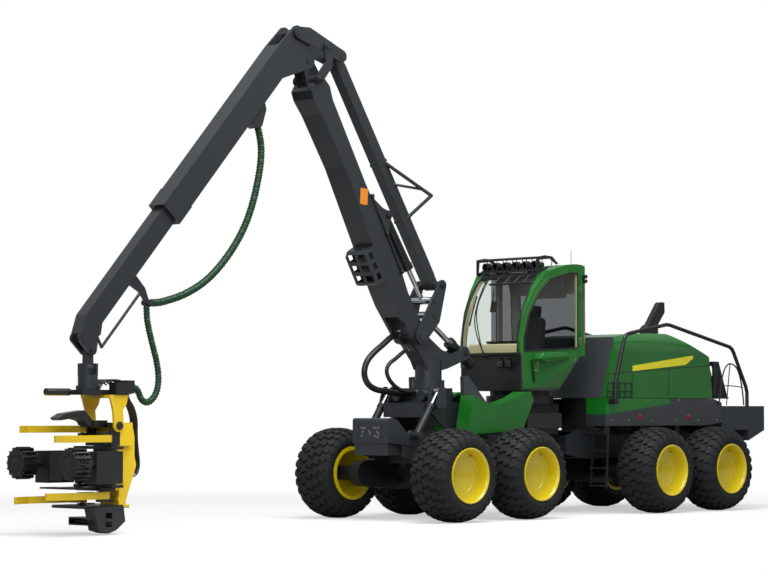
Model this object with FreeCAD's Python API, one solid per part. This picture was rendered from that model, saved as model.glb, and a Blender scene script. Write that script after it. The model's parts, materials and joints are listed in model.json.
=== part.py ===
import FreeCAD, Part
import math
import os

# Forestry harvester: an eight-wheeled, frame-steered carrier with a turning cab, a tilting and
# slewing parallel crane and a felling head.  Millimetres, +X forward, +Y left, +Z up.
# The origin is on the ground under the middle of the machine's box, crane laid out ahead.

V = FreeCAD.Vector
os.makedirs("parts", exist_ok=True)

# ---- driving values ---------------------------------------------------------------------
# wheels and bogies
TYRE_R = 670.0
TYRE_HALF_W = 355.0
TYRE_WALL = 40.0
TREAD_HALF_W = 300.0
SHOULDER_DROP = 55.0
BEAD_R = 372.0
BEAD_HALF_W = 300.0
RIM_R = BEAD_R
RIM_WALL = 18.0
RIM_HALF_W = 335.0
RIM_LIP_R = 398.0
RIM_LIP_W = 22.0
DISC_OFFSET = 60.0
DISC_THICK = 24.0
HUB_R = 165.0
HUB_OUT = 190.0
HUB_NOSE_R = 120.0
HALF_TRACK = 1180.0
FRONT_BOGIE_X = -380.0
REAR_BOGIE_X = -5060.0
BOGIE_HALF_SPREAD = 780.0
BOGIE_Y0 = 560.0
BOGIE_Y1 = 760.0
BOGIE_END_R = 190.0
BOGIE_MID_R = 250.0
AXLE_R = 150.0
DIFF_R = 255.0
DIFF_HALF_W = 190.0
STUB_R = 110.0
SEAT_GAP = 0.3
PIN_GAP = 0.5

# front frame
FRAME_HALF_W = 400.0
FRAME_SIDE = 25.0
FRAME_TOP = 1230.0
FRAME_BOTTOM = 820.0
FRAME_PLATE = 20.0
FRAME_FRONT_X = 640.0
FRAME_REAR_X = -2420.0
NOSE_FRONT_X = 905.0
NOSE_THICK = 60.0
NOSE_HALF_W = 358.0
NOSE_TOP = 1490.0
NOSE_BOTTOM = 1130.0
NOSE_LIP = 45.0
CHIN_HALF_W = 340.0
NOSE_WING_X = 540.0
NOSE_WING_Y = 415.0
COVER_OUT_Y = 812.0
CHIN_BOTTOM = 950.0
NOSE_HOLE_R = 13.0
NOSE_HOLE_PITCH_Y = 480.0
NOSE_HOLE_PITCH_Z = 150.0

# steering joint
STEER_X = -2720.0
FORK_R = 170.0
FORK_THICK = 60.0
FORK_LOW_Z = 870.0
FORK_HIGH_Z = 1150.0
STEER_PIN_R = 60.0
TONGUE_Z0 = 940.0
TONGUE_Z1 = 1140.0

# crane base and pillar
TILT_X = -400.0
TILT_Z = 1300.0
TILT_PIN_R = 45.0
TILT_EYE_X = -8.0
TILT_EYE_Z = 1884.0
TILT_BASE_X = 451.0
TILT_BASE_Z = 1237.0
TILT_CYL_Y = 500.0
TILT_BARREL_R = 58.0
TILT_ROD_R = 32.0
TILT_BARREL_LEN = 545.0
TILT_ROD_START = 258.0
TILT_EYE_R = 48.0
CYL_EYE_HALF = 68.0
BASE_FRONT_X = 207.0
BASE_REAR_X = -600.0
BASE_LOW_Z = 1500.0
BASE_TOP_Z = 1710.0
BASE_WALL = 25.0
ARM_IN_Y = 408.0
ARM_THICK = 30.0
SLEW_X = -330.0
SLEW_RING_Z = 2000.0
SLEW_RING_R = 240.0
COLUMN_R = 200.0
COLUMN_WALL = 25.0
COLUMN_TOP_Z = 2350.0
HEAD_Y0 = 100.0
HEAD_Y1 = 140.0
LIFT_BASE_X = -1000.0
LIFT_BASE_Z = 2470.0

# main boom, straight from its foot pin to its head pin
FOOT_X = 55.0
FOOT_Z = 2700.0
BOOM_ANGLE = 59.83
BOOM_LENGTH = 4446.5
BOOM_HALF_W = 205.0
BOOM_WALL = 12.0
FOOT_PIN_R = 60.0
FOOT_BOSS_R = 128.0
FORK_CHEEK = 58.0
BOOM_FORK_U = 430.0
EAR_Y0 = 55.0
EAR_Y1 = 105.0
EAR_R = 108.0
HEAD_PIN_R = 45.0
LINK_FOOT_U = BOOM_LENGTH - 282.5
LINK_FOOT_W = -24.0
LINK_PIN_R = 34.0
REACH_PIN_U = 1798.0
REACH_PIN_W = 387.0
REACH_PIN_R = 35.0
BRACKET_Y0 = 79.0
BRACKET_Y1 = 104.0

# lift rocker
ROCKER_Y0 = 215.0
ROCKER_Y1 = 250.0
BAR_PIN_U = 436.0
BAR_PIN_W = 759.0
BAR_PIN_R = 40.0
REACH_ROD_U = 324.0
REACH_ROD_W = 489.0
LIFT_ROD_U = 131.0
LIFT_ROD_W = 390.0

# parallel bar and elbow linkage
BAR_END_U = BOOM_LENGTH - 207.5
BAR_END_W = 604.0
BAR_HALF = 85.0
BAR_WALL = 10.0
BAR_GUARD_Y = 350.0
BAR_GUARD_R = 26.0
KNEE_A_U = BOOM_LENGTH + 434.5
KNEE_A_W = -9.0
KNEE_B_U = BOOM_LENGTH + 39.5
KNEE_B_W = 373.0
KNEE_HUMP_U = BOOM_LENGTH + 363.5
KNEE_HUMP_W = 180.0
KNEE_Y0 = 160.0
KNEE_Y1 = 190.0
KNEE_R = 85.0
LINK_Y0 = 212.0
LINK_Y1 = 245.0
LINK_R = 68.0

# jib and its extension
JIB_ANGLE = -48.4
JIB_PLATE_Y0 = 115.0
JIB_PLATE_Y1 = 150.0
JIB_HALF_W = 150.0
JIB_WALL = 12.0
JIB_HALF_D = 180.0
JIB_MID_V = -365.0
JIB_START_U = 250.0
JIB_END_U = 3440.0
EXT_HALF_W = 105.0
EXT_HALF_D = 135.0
EXT_WALL = 10.0
EXT_START_U = 1300.0
EXT_END_U = 5400.0
COLLAR_LEN = 330.0
TIP_U = 5666.0
TIP_V = -111.0
TIP_PIN_R = 32.0
TIP_FORK_Y0 = 62.0
TIP_FORK_Y1 = 100.0
HOSE_CLAMP_U = 4510.0
HOSE_CLAMP_V = 205.0

# lift and reach cylinders
LIFT_BARREL_R = 82.0
LIFT_ROD_R = 42.0
LIFT_BARREL_UP = 270.0
LIFT_BARREL_DOWN = 330.0
TRUNNION_R = 38.0
REACH_BARREL_R = 75.0
REACH_ROD_R = 38.0
REACH_BARREL_LEN = 920.0

# felling head
HANG_X = 6134.477206
HANG_Z = 2380.840331
CROSS_Z = 2148.0
ROTATOR_TOP = 2060.0
ROTATOR_BOTTOM = 1890.0
ROTATOR_R = 130.0
YOKE_FLANGE_TOP = 1889.0
YOKE_BLOCK_TOP = 1865.0
YOKE_BLOCK_LOW = 1800.0
YOKE_ARCH_LOW = 1758.0
HEAD_TILT_X = 5850.0
HEAD_TILT_Z = 1400.0
YOKE_LEG_Y0 = 265.0
YOKE_LEG_Y1 = 300.0
YOKE_PIN_R = 40.0
SPINE_X0 = 5500.0
SPINE_X1 = 5560.0
SPINE_HALF_W = 190.0
SPINE_TOP = 1420.0
SPINE_LOW = 360.0
BODY_HALF_W = 255.0
BODY_FRONT_X = 5960.0
LOG_X = 6780.0
KNIFE_PIN_X = 6060.0
KNIFE_PIN_Y = 190.0
KNIFE_PIN_R = 30.0
KNIFE_THICK = 90.0
KNIFE_Z = {1: (1190.0, 462.0), -1: (1310.0, 400.0)}
UPPER_REACH = 150.0
LOWER_REACH = 260.0
ARM_PIN_X = 6000.0
ARM_PIN_Y = 330.0
ARM_PIN_R = 32.0
ROLLER_Y = 540.0
ROLLER_Z = 920.0
ROLLER_R = 175.0
ROLLER_SPIKE = 35.0
ROLLER_X0 = 6640.0
ROLLER_X1 = 6880.0
ROLLER_SPIKES = 16
SAW_X0 = 5870.0
SAW_X1 = 6380.0
SAW_LOW_Z = 20.0
SAW_TOP_Z = 400.0
SAW_PIN_X = 6000.0
SAW_PIN_Y = 300.0
SAW_PIN_R = 30.0
SAW_BAR_Z = 150.0
SAW_BAR_THICK = 12.0
SAW_BAR_LEN = 700.0
SAW_BAR_HALF = 42.0

# cab
CAB_X = -2400.0
CAB_FRONT_X = -1700.0
CAB_REAR_X = -3150.0
CAB_FLOOR_Z = 1900.0
CAB_ROOF_Z = 3850.0
CAB_FRONT_HALF = 600.0
CAB_HALF_W = 850.0
CAB_WALL = 60.0
DOOR_GAP = 6.0
DOOR_HINGE_X = -2856.0
DOOR_HINGE_Y = 864.0
KNUCKLE_R = 12.0
KNUCKLE_LEN = 120.0
KNUCKLE_Z = (2600.0, 3400.0)
CAB_LOW_HALF = 640.0
CAB_WAIST_Z = 2430.0
SCREEN_MARGIN = 35.0
DOOR_THICK = 45.0
GLASS_THICK = 6.0
GLASS_INSET = 12.0
TURNTABLE_R = 520.0
TURNTABLE_TOP = 1885.0

# rear frame
REAR_TOP = 1290.0
REAR_BOTTOM = 850.0
REAR_FRONT_X = -3020.0
BUMPER_X0 = -7100.0
REAR_END_X = BUMPER_X0 + 200.0
HOOD_HALF_W = 930.0
HOOD_WALL = 25.0
HOOD_FRONT_X = -3340.0
HOOD_TOP_FRONT_X = -3644.0
HOOD_SHOULDER_Z = 2480.0
HOOD_LOW_Z = 1797.0
HOOD_BACK_X = -6110.0
HOOD_HINGE_X = HOOD_BACK_X + 30.0
HOOD_HINGE_Z = 2440.0
HOOD_HINGE_R = 18.0
HOOD_EAR_Y = 500.0
PANEL_HALF_W = 950.0
PANEL_LOW_Z = 1362.0
PANEL_WALL = 20.0
OUTRIGGER_Y = 800.0
PANEL_TOP_Z = 1790.0
PANEL_FRONT_X = -3330.0
RAIL_Y = 1050.0
RAIL_R = 30.0
BUMPER_HALF_W = 1250.0
BUMPER_Z0 = 1110.0
BUMPER_Z1 = 1675.0
BUMPER_TAIL_Z = 1280.0
BUMPER_WALL = 20.0
BUMPER_FRONT_X = BUMPER_X0 + 300.0
BUMPER_FRONT_HALF = 1150.0
WING_LOW_Z = 1285.0
TOW_HOLE_R = 45.0
TOW_X = BUMPER_X0 + 80.0
TOW_TOP_Z = 1290.0

# hoses
BASE_HOSE_R = 45.0
BACK_HOSE_R = 30.0
JIB_HOSE_R = 55.0
HEAD_HOSE_R = 48.0
FRAME_HOSE_R = 40.0
CLAMP_R = 42.0
HOUSING_AHEAD = 290.0
YOKE_REAR_X = 5560.0
YOKE_REAR_Z = 1820.0

MIDDLE = V(0, 0, 0)


# ---- shape helpers ----------------------------------------------------------------------
def box(x0, x1, y0, y1, z0, z1):
    return Part.makeBox(x1 - x0, y1 - y0, z1 - z0, V(x0, y0, z0))


def outline(points):
    return Part.Face(Part.makePolygon(points + points[:1]))


def plate_xz(points, y0, y1):
    return outline([V(x, y0, z) for x, z in points]).extrude(V(0, y1 - y0, 0))


def plate_xy(points, z0, z1):
    return outline([V(x, y, z0) for x, y in points]).extrude(V(0, 0, z1 - z0))


def pin_y(at, r, y0, y1):
    return Part.makeCylinder(r, y1 - y0, V(at[0], y0, at[1]), V(0, 1, 0))


def post(x, y, r, z0, z1):
    return Part.makeCylinder(r, z1 - z0, V(x, y, z0))


def rod(a, b, r):
    return Part.makeCylinder(r, (b - a).Length, a, b - a)


def fuse(shapes):
    return shapes[0].multiFuse(shapes[1:]).removeSplitter() if len(shapes) > 1 else shapes[0]


def mirrored(shape):
    return shape.mirror(MIDDLE, V(0, 1, 0))


def pair(shape):
    return [shape, mirrored(shape)]


def boss_plate(bosses, y0, y1):
    """A plate round several pin bosses (x, z, r), listed anticlockwise seen with x right, z up."""
    points = []
    for index, (ax, az, ar) in enumerate(bosses):
        bx, bz, br = bosses[(index + 1) % len(bosses)]
        span = math.hypot(bx - ax, bz - az)
        side = math.atan2(bz - az, bx - ax) - math.acos((ar - br) / span)
        normal = (math.cos(side), math.sin(side))
        points.append((ax + ar * normal[0], az + ar * normal[1]))
        points.append((bx + br * normal[0], bz + br * normal[1]))
    discs = [pin_y((x, z), r, y0, y1) for x, z, r in bosses]
    return fuse([plate_xz(points, y0, y1)] + discs)


def tube_path(points, r):
    """A bent pipe: straight runs with a ball at each corner."""
    runs = [rod(a, b, r) for a, b in zip(points, points[1:])]
    knees = [Part.makeSphere(r, p) for p in points[1:-1]]
    return fuse(runs + knees)


def hose(points, r, name):
    """A hose along straight runs joined by tangent arcs, each as large as its runs allow."""
    edges, radii = [], []
    start = points[0]
    for before, corner, after in zip(points, points[1:], points[2:]):
        back = (before - corner).normalize()
        ahead = (after - corner).normalize()
        half_turn = (math.pi - back.getAngle(ahead)) / 2
        cut = 0.45 * min((before - corner).Length, (after - corner).Length)
        bend = cut / math.tan(half_turn)
        inward = (back + ahead).normalize()
        centre = corner + inward * (bend / math.cos(half_turn))
        arc_in = corner + back * cut
        arc_out = corner + ahead * cut
        edges.append(Part.LineSegment(start, arc_in).toShape())
        edges.append(Part.Arc(arc_in, centre - inward * bend, arc_out).toShape())
        radii.append(round(bend))
        start = arc_out
    edges.append(Part.LineSegment(start, points[-1]).toShape())
    path = Part.Wire(edges)
    ring = Part.Wire(Part.makeCircle(r, points[0], points[1] - points[0]))
    pipe = path.makePipeShell([ring], True, False)
    length = path.Length
    print(name, "length", round(length), "radii", radii, "volume ratio",
          round(pipe.Volume / (math.pi * r * r * length), 3))
    return pipe


def save(name, shapes):
    solids = [solid for shape in shapes for solid in shape.Solids]
    Part.makeCompound(solids).exportStep("parts/" + name + ".step")


def save_hung(name, shapes):
    """Save what hangs from the jib's tip: drawn at (HANG_X, HANG_Z) and carried to the tip itself."""
    for shape in shapes:
        shape.translate(V(TIP[0] - HANG_X, 0, TIP[1] - HANG_Z))
    save(name, shapes)


# ---- the crane's own axes ---------------------------------------------------------------
BOOM_C = math.cos(math.radians(BOOM_ANGLE))
BOOM_S = math.sin(math.radians(BOOM_ANGLE))
JIB_C = math.cos(math.radians(JIB_ANGLE))
JIB_S = math.sin(math.radians(JIB_ANGLE))


def boom_at(u, w):
    """x, z of a point u along the boom from its foot pin and w behind its centre line."""
    return (FOOT_X + u * BOOM_C - w * BOOM_S, FOOT_Z + u * BOOM_S + w * BOOM_C)


def jib_at(u, v):
    """x, z of a point u along the jib from its pin, v positive towards the machine."""
    x, z = boom_at(BOOM_LENGTH, 0)
    return (x + u * JIB_C + v * JIB_S, z + u * JIB_S - v * JIB_C)


def boss(at, r):
    return (at[0], at[1], r)


FOOT = (FOOT_X, FOOT_Z)
ELBOW = boom_at(BOOM_LENGTH, 0)
BAR_LOW = boom_at(BAR_PIN_U, BAR_PIN_W)
BAR_HIGH = boom_at(BAR_END_U, BAR_END_W)
KNEE_A = boom_at(KNEE_A_U, KNEE_A_W)
KNEE_B = boom_at(KNEE_B_U, KNEE_B_W)
KNEE_HUMP = boom_at(KNEE_HUMP_U, KNEE_HUMP_W)
LINK_FOOT = boom_at(LINK_FOOT_U, LINK_FOOT_W)
REACH_TOP = boom_at(REACH_PIN_U, REACH_PIN_W)
REACH_EYE = boom_at(REACH_ROD_U, REACH_ROD_W)
LIFT_EYE = boom_at(LIFT_ROD_U, LIFT_ROD_W)
TRUNNION = (LIFT_BASE_X, LIFT_BASE_Z)
TIP = jib_at(TIP_U, TIP_V)
CLAMP = jib_at(HOSE_CLAMP_U + 10, HOSE_CLAMP_V)


# ---- wheels and bogies ------------------------------------------------------------------
def revolved(profile, x, z):
    """Turn an outline of (radius, y) about the wheel's axle."""
    face = outline([V(x, y, z + r) for r, y in profile])
    return face.revolve(V(x, 0, z), V(0, 1, 0), 360)


def tyre_profile(inset):
    tread = TREAD_HALF_W - inset
    side = TYRE_HALF_W - inset
    bead = BEAD_HALF_W - inset / 2
    top = TYRE_R - inset
    shoulder = TYRE_R - SHOULDER_DROP - inset
    low = BEAD_R + SEAT_GAP + inset
    half = [(top, tread / 2), (top - 18, tread * 0.8), (shoulder - 15, side - 28), (shoulder - 75, side),
            ((shoulder + low) / 2 - 20, side), (low, bead)]
    return half + [(r, -y) for r, y in reversed(half)]


def make_wheel(name, x, side):
    """A tubed forestry tyre on a wide rim with a planetary hub in its dish."""
    y = side * HALF_TRACK
    shift = V(0, y, 0)
    tyre = revolved(tyre_profile(0), x, TYRE_R).cut(revolved(tyre_profile(TYRE_WALL), x, TYRE_R))
    barrel = revolved([(RIM_R - RIM_WALL, -RIM_HALF_W), (RIM_R, -RIM_HALF_W),
                       (RIM_R, RIM_HALF_W), (RIM_R - RIM_WALL, RIM_HALF_W)], x, TYRE_R)
    lips = [revolved([(RIM_R - RIM_WALL, e * RIM_HALF_W), (RIM_LIP_R, e * RIM_HALF_W),
                      (RIM_LIP_R, e * (RIM_HALF_W - RIM_LIP_W)),
                      (RIM_R - RIM_WALL, e * (RIM_HALF_W - RIM_LIP_W))], x, TYRE_R)
            for e in (-1, 1)]
    centre = V(x, 0, TYRE_R)
    out = V(0, side, 0)
    disc = Part.makeCylinder(RIM_R - RIM_WALL / 2, DISC_THICK, centre + out * DISC_OFFSET, out)
    hub = Part.makeCylinder(HUB_R, HUB_OUT - DISC_OFFSET - 90, centre + out * DISC_OFFSET, out)
    nose = Part.makeCone(HUB_R, HUB_NOSE_R, 90, centre + out * (HUB_OUT - 90), out)
    rim = fuse([barrel, disc, hub, nose] + lips)
    for piece in (tyre, rim):
        piece.translate(shift)
    save(name, [tyre, rim])


def make_bogies(name, x, frame_bottom):
    """Two swinging gear beams on the ends of one driven axle, with a stub for each wheel."""
    front = (x + BOGIE_HALF_SPREAD, TYRE_R)
    back = (x - BOGIE_HALF_SPREAD, TYRE_R)
    beam = boss_plate([(back[0], back[1], BOGIE_END_R), (x, TYRE_R, BOGIE_MID_R),
                       (front[0], front[1], BOGIE_END_R), (x, TYRE_R + 5, BOGIE_MID_R)],
                      BOGIE_Y0, BOGIE_Y1)
    stub_end = HALF_TRACK + DISC_OFFSET - SEAT_GAP
    stubs = [pin_y(at, STUB_R, BOGIE_Y1, stub_end) for at in (front, back)]
    axle = pin_y((x, TYRE_R), AXLE_R, 0, BOGIE_Y0)
    bell = pin_y((x, TYRE_R), DIFF_R, 0, DIFF_HALF_W)
    saddle = box(x - 150, x + 150, 210, FRAME_HALF_W, TYRE_R + 60, frame_bottom)
    half = fuse([beam, axle, bell, saddle] + stubs)
    save(name, [fuse(pair(half))])


def axle_window(x, frame_bottom):
    """Opening in a frame's floor that the axle's bell stands up through."""
    half_x = DIFF_R + 20
    half_y = DIFF_HALF_W + 12
    return box(x - half_x, x + half_x, -half_y, half_y, frame_bottom - 5, frame_bottom + FRAME_PLATE + 5)


# ---- front frame ------------------------------------------------------------------------
def steering_fork():
    """Four ears of the frame's rear end, two above and two below the rear frame's tongue."""
    ears = []
    for low in (FORK_LOW_Z, FORK_HIGH_Z + PIN_GAP):
        arm = box(STEER_X, FRAME_REAR_X + 60, -FORK_R, FORK_R, low, low + FORK_THICK)
        ears.append(arm.fuse(post(STEER_X, 0, FORK_R, low, low + FORK_THICK)))
    pin = post(STEER_X, 0, STEER_PIN_R, FORK_LOW_Z, FORK_HIGH_Z + FORK_THICK)
    return ears + [pin]


def make_front_frame():
    """Welded box of two side plates, with the crane's nose plate ahead and the fork behind."""
    side = plate_xz([(FRAME_FRONT_X, FRAME_BOTTOM + 120), (FRAME_FRONT_X, FRAME_TOP),
                     (FRAME_REAR_X, FRAME_TOP), (FRAME_REAR_X, FRAME_BOTTOM + 30),
                     (-1900, FRAME_BOTTOM), (150, FRAME_BOTTOM)],
                    FRAME_HALF_W - FRAME_SIDE, FRAME_HALF_W)
    wide = FRAME_HALF_W - FRAME_SIDE / 2
    deck = box(FRAME_REAR_X, FRAME_FRONT_X, -wide, wide, FRAME_TOP - FRAME_PLATE, FRAME_TOP)
    floor = box(-1900, 150, -wide, wide, FRAME_BOTTOM, FRAME_BOTTOM + FRAME_PLATE)
    rear = box(FRAME_REAR_X, FRAME_REAR_X + 60, -wide, wide, FRAME_BOTTOM + 40, FRAME_TOP)
    bulkheads = [box(x, x + 30, -wide, wide, FRAME_BOTTOM, FRAME_TOP) for x in (-1500, -700, 100)]
    nose_back = NOSE_FRONT_X - NOSE_THICK
    nose = box(nose_back, NOSE_FRONT_X, -NOSE_HALF_W, NOSE_HALF_W, NOSE_BOTTOM, NOSE_TOP - NOSE_LIP)
    lip = Part.makeCylinder(NOSE_LIP, 2 * NOSE_HALF_W,
                            V(NOSE_FRONT_X - NOSE_LIP, -NOSE_HALF_W, NOSE_TOP - NOSE_LIP), V(0, 1, 0))
    chin = box(FRAME_FRONT_X - 60, NOSE_FRONT_X - 20, -CHIN_HALF_W, CHIN_HALF_W,
               CHIN_BOTTOM, NOSE_BOTTOM + 40)
    wing_side = plate_xz([(NOSE_FRONT_X - 5, NOSE_TOP - 40), (NOSE_FRONT_X - 5, NOSE_BOTTOM),
                          (NOSE_WING_X, FRAME_TOP - 130), (NOSE_WING_X, FRAME_TOP + 20),
                          (NOSE_FRONT_X - 170, NOSE_TOP - 25), (NOSE_FRONT_X - 90, NOSE_TOP - 5)], 0, 700)
    wing_plan = plate_xy([(NOSE_FRONT_X - 5, NOSE_HALF_W), (NOSE_FRONT_X - 5, NOSE_HALF_W - 30),
                          (NOSE_WING_X, NOSE_WING_Y - 30), (NOSE_WING_X, NOSE_WING_Y)], 1000, 1600)
    stays = pair(wing_side.common(wing_plan))
    holes = [Part.makeCylinder(NOSE_HOLE_R, NOSE_THICK + 2 * NOSE_LIP,
                               V(nose_back - NOSE_LIP, y, (NOSE_TOP + NOSE_BOTTOM) / 2 - 20 + z),
                               V(1, 0, 0))
             for y in (-NOSE_HOLE_PITCH_Y / 2, NOSE_HOLE_PITCH_Y / 2)
             for z in (-NOSE_HOLE_PITCH_Z / 2, NOSE_HOLE_PITCH_Z / 2)]
    pivots = pair(pin_y((TILT_X, TILT_Z), TILT_PIN_R, FRAME_HALF_W - 35, ARM_IN_Y + ARM_THICK + 20))
    cheeks = pair(boss_plate([(TILT_X, TILT_Z, 80), (TILT_X - 90, FRAME_TOP - 60, 60),
                              (TILT_X + 90, FRAME_TOP - 60, 60)],
                             FRAME_HALF_W - 35, ARM_IN_Y - PIN_GAP))
    tilt_bases = pair(fuse([
        pin_y((TILT_BASE_X, TILT_BASE_Z), TILT_ROD_R, FRAME_HALF_W - 5, TILT_CYL_Y + CYL_EYE_HALF + 14),
        pin_y((TILT_BASE_X, TILT_BASE_Z), 75, FRAME_HALF_W - 30, TILT_CYL_Y - CYL_EYE_HALF - PIN_GAP),
        pin_y((TILT_BASE_X, TILT_BASE_Z), 52, TILT_CYL_Y + CYL_EYE_HALF + PIN_GAP,
              TILT_CYL_Y + CYL_EYE_HALF + 14),
        plate_xz([(TILT_BASE_X - 80, TILT_BASE_Z), (TILT_BASE_X - 80, FRAME_TOP - 140),
                  (TILT_BASE_X + 120, FRAME_TOP - 140), (TILT_BASE_X + 75, TILT_BASE_Z)],
                 FRAME_HALF_W - 30, FRAME_HALF_W + 20)]))
    parts = [deck, floor, rear, nose, lip, chin] + pair(side) + bulkheads + stays
    parts += steering_fork() + pivots + cheeks + tilt_bases
    holes.append(axle_window(FRONT_BOGIE_X, FRAME_BOTTOM))
    save("front_frame", [fuse(parts).cut(Part.makeCompound(holes))])


def make_turntable():
    """Pedestal on the frame's deck that carries the cab's slewing ring."""
    pedestal = box(CAB_X - 480, CAB_X + 700, -FRAME_HALF_W + 20, FRAME_HALF_W - 20, FRAME_TOP, 1700)
    hollow = box(CAB_X - 450, CAB_X + 670, -FRAME_HALF_W + 50, FRAME_HALF_W - 50, FRAME_TOP, 1670)
    ring = post(CAB_X, 0, TURNTABLE_R, 1700, TURNTABLE_TOP - 60)
    race = post(CAB_X, 0, TURNTABLE_R - 60, TURNTABLE_TOP - 60, CAB_FLOOR_Z - SEAT_GAP)
    side_tank = pair(box(CAB_X - 100, CAB_X + 700, FRAME_HALF_W - 20, 760, 1330, 1560))
    save("cab_turntable", [fuse([pedestal.cut(hollow), ring, race] + side_tank)])


def make_front_covers():
    """Moulded covers over the front wheels' inner halves, with a flat slab by the crane."""
    profile = [(-312, 1250), (-336, 1387), (-436, 1827), (-700, 1720), (-1000, 1690), (-1373, 1787),
               (-1600, 1880), (-1716, 1884), (-1790, 1760), (-1527, 1293)]
    outer = plate_xz(profile, 560, COVER_OUT_Y)
    inner = plate_xz([(-362, 1290), (-372, 1400), (-462, 1770), (-690, 1680), (-1000, 1648),
                      (-1385, 1745), (-1600, 1838), (-1690, 1842), (-1735, 1750), (-1505, 1335)],
                     FRAME_HALF_W, COVER_OUT_Y - 22)
    shell = outer.cut(inner)
    slab = plate_xz([(-492, 2100), (-600, 2110), (-1045, 1681), (-1045, 1560), (-520, 1560)], 490, 558)
    bracket = box(-1000, -600, FRAME_HALF_W, 600, FRAME_TOP - 60, FRAME_TOP + 70)
    stay = box(-1000, -600, 490, 600, FRAME_TOP + 20, 1600)
    save("front_covers", pair(fuse([shell, slab, bracket, stay])))


# ---- crane base -------------------------------------------------------------------------
def make_crane_base():
    """Box that tips on the frame to stand the crane upright, with the slewing gear on top."""
    shell = box(BASE_REAR_X, BASE_FRONT_X, -ARM_IN_Y, ARM_IN_Y, BASE_LOW_Z, BASE_TOP_Z)
    inside = box(BASE_REAR_X + BASE_WALL, BASE_FRONT_X - BASE_WALL, BASE_WALL - ARM_IN_Y,
                 ARM_IN_Y - BASE_WALL, BASE_LOW_Z + BASE_WALL, BASE_TOP_Z - BASE_WALL)
    arm = boss_plate([(TILT_X, TILT_Z, 95), (-20, 1600, 85), (TILT_EYE_X - 60, 1700, 60),
                      (BASE_REAR_X + 60, 1640, 70)], ARM_IN_Y, ARM_IN_Y + ARM_THICK)
    bore = pin_y((TILT_X, TILT_Z), TILT_PIN_R + PIN_GAP, ARM_IN_Y - 5, ARM_IN_Y + ARM_THICK + 5)
    lug = boss_plate([(TILT_EYE_X - 30, 1690, 60), (TILT_EYE_X + 70, 1690, 60),
                      (TILT_EYE_X, TILT_EYE_Z, 72)], ARM_IN_Y - 10, TILT_CYL_Y - CYL_EYE_HALF)
    outer_lug = boss_plate([(TILT_EYE_X - 30, 1690, 60), (TILT_EYE_X + 70, 1690, 60),
                            (TILT_EYE_X, TILT_EYE_Z, 72)], TILT_CYL_Y + CYL_EYE_HALF,
                           TILT_CYL_Y + CYL_EYE_HALF + 20)
    tie = box(TILT_EYE_X - 75, TILT_EYE_X - 5, ARM_IN_Y - 20, TILT_CYL_Y + CYL_EYE_HALF + 20, 1640, 1690)
    housing = box(SLEW_X - 170, SLEW_X + HOUSING_AHEAD, -330, 330, BASE_TOP_Z - 5, 1930)
    rack = [Part.makeCylinder(82, 640, V(SLEW_X - 200, y, 1820), V(1, 0, 0)) for y in (-250, 250)]
    turret = post(SLEW_X, 0, SLEW_RING_R, BASE_TOP_Z, SLEW_RING_Z)
    sides = pair(fuse([arm, lug, outer_lug, tie]))
    parts = [shell.cut(inside), housing, turret] + rack + sides
    save("crane_base", [fuse(parts).cut(Part.makeCompound(pair(bore)))])


def cylinder_barrel(base, eye, y, r, reach, rod_r, eye_r):
    """Barrel from its base eye towards the rod's eye, bored for the rod."""
    a = V(base[0], y, base[1])
    b = V(eye[0], y, eye[1])
    way = (b - a).normalize()
    body = rod(a + way * (eye_r * 0.6), a + way * reach, r)
    gland = rod(a + way * (reach - r), a + way * reach, r * 1.14)
    bore = rod(a + way * (eye_r + 14), a + way * (reach + 5), rod_r + PIN_GAP)
    return fuse([body, gland]).cut(bore)


def cylinder_rod(base, eye, y, r, inside, eye_r):
    a = V(base[0], y, base[1])
    b = V(eye[0], y, eye[1])
    way = (b - a).normalize()
    return rod(a + way * inside, b - way * (eye_r * 0.5), r)


def make_tilt_cylinders():
    """Two cylinders from the frame's nose to the crane base's lugs."""
    base = (TILT_BASE_X, TILT_BASE_Z)
    eye = (TILT_EYE_X, TILT_EYE_Z)
    y0 = TILT_CYL_Y - CYL_EYE_HALF + PIN_GAP
    y1 = TILT_CYL_Y + CYL_EYE_HALF - PIN_GAP
    barrel = cylinder_barrel(base, eye, TILT_CYL_Y, TILT_BARREL_R, TILT_BARREL_LEN, TILT_ROD_R, TILT_EYE_R)
    barrel = fuse([barrel, pin_y(base, TILT_EYE_R + 8, y0, y1)]).cut(pin_y(base, TILT_ROD_R + PIN_GAP,
                                                                           y0, y1))
    stem = cylinder_rod(base, eye, TILT_CYL_Y, TILT_ROD_R, TILT_ROD_START, TILT_EYE_R)
    stem = fuse([stem, pin_y(eye, TILT_EYE_R, y0 + 10, y1 - 10)])
    save("tilt_barrels", pair(barrel))
    save("tilt_rods", pair(stem))


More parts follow.
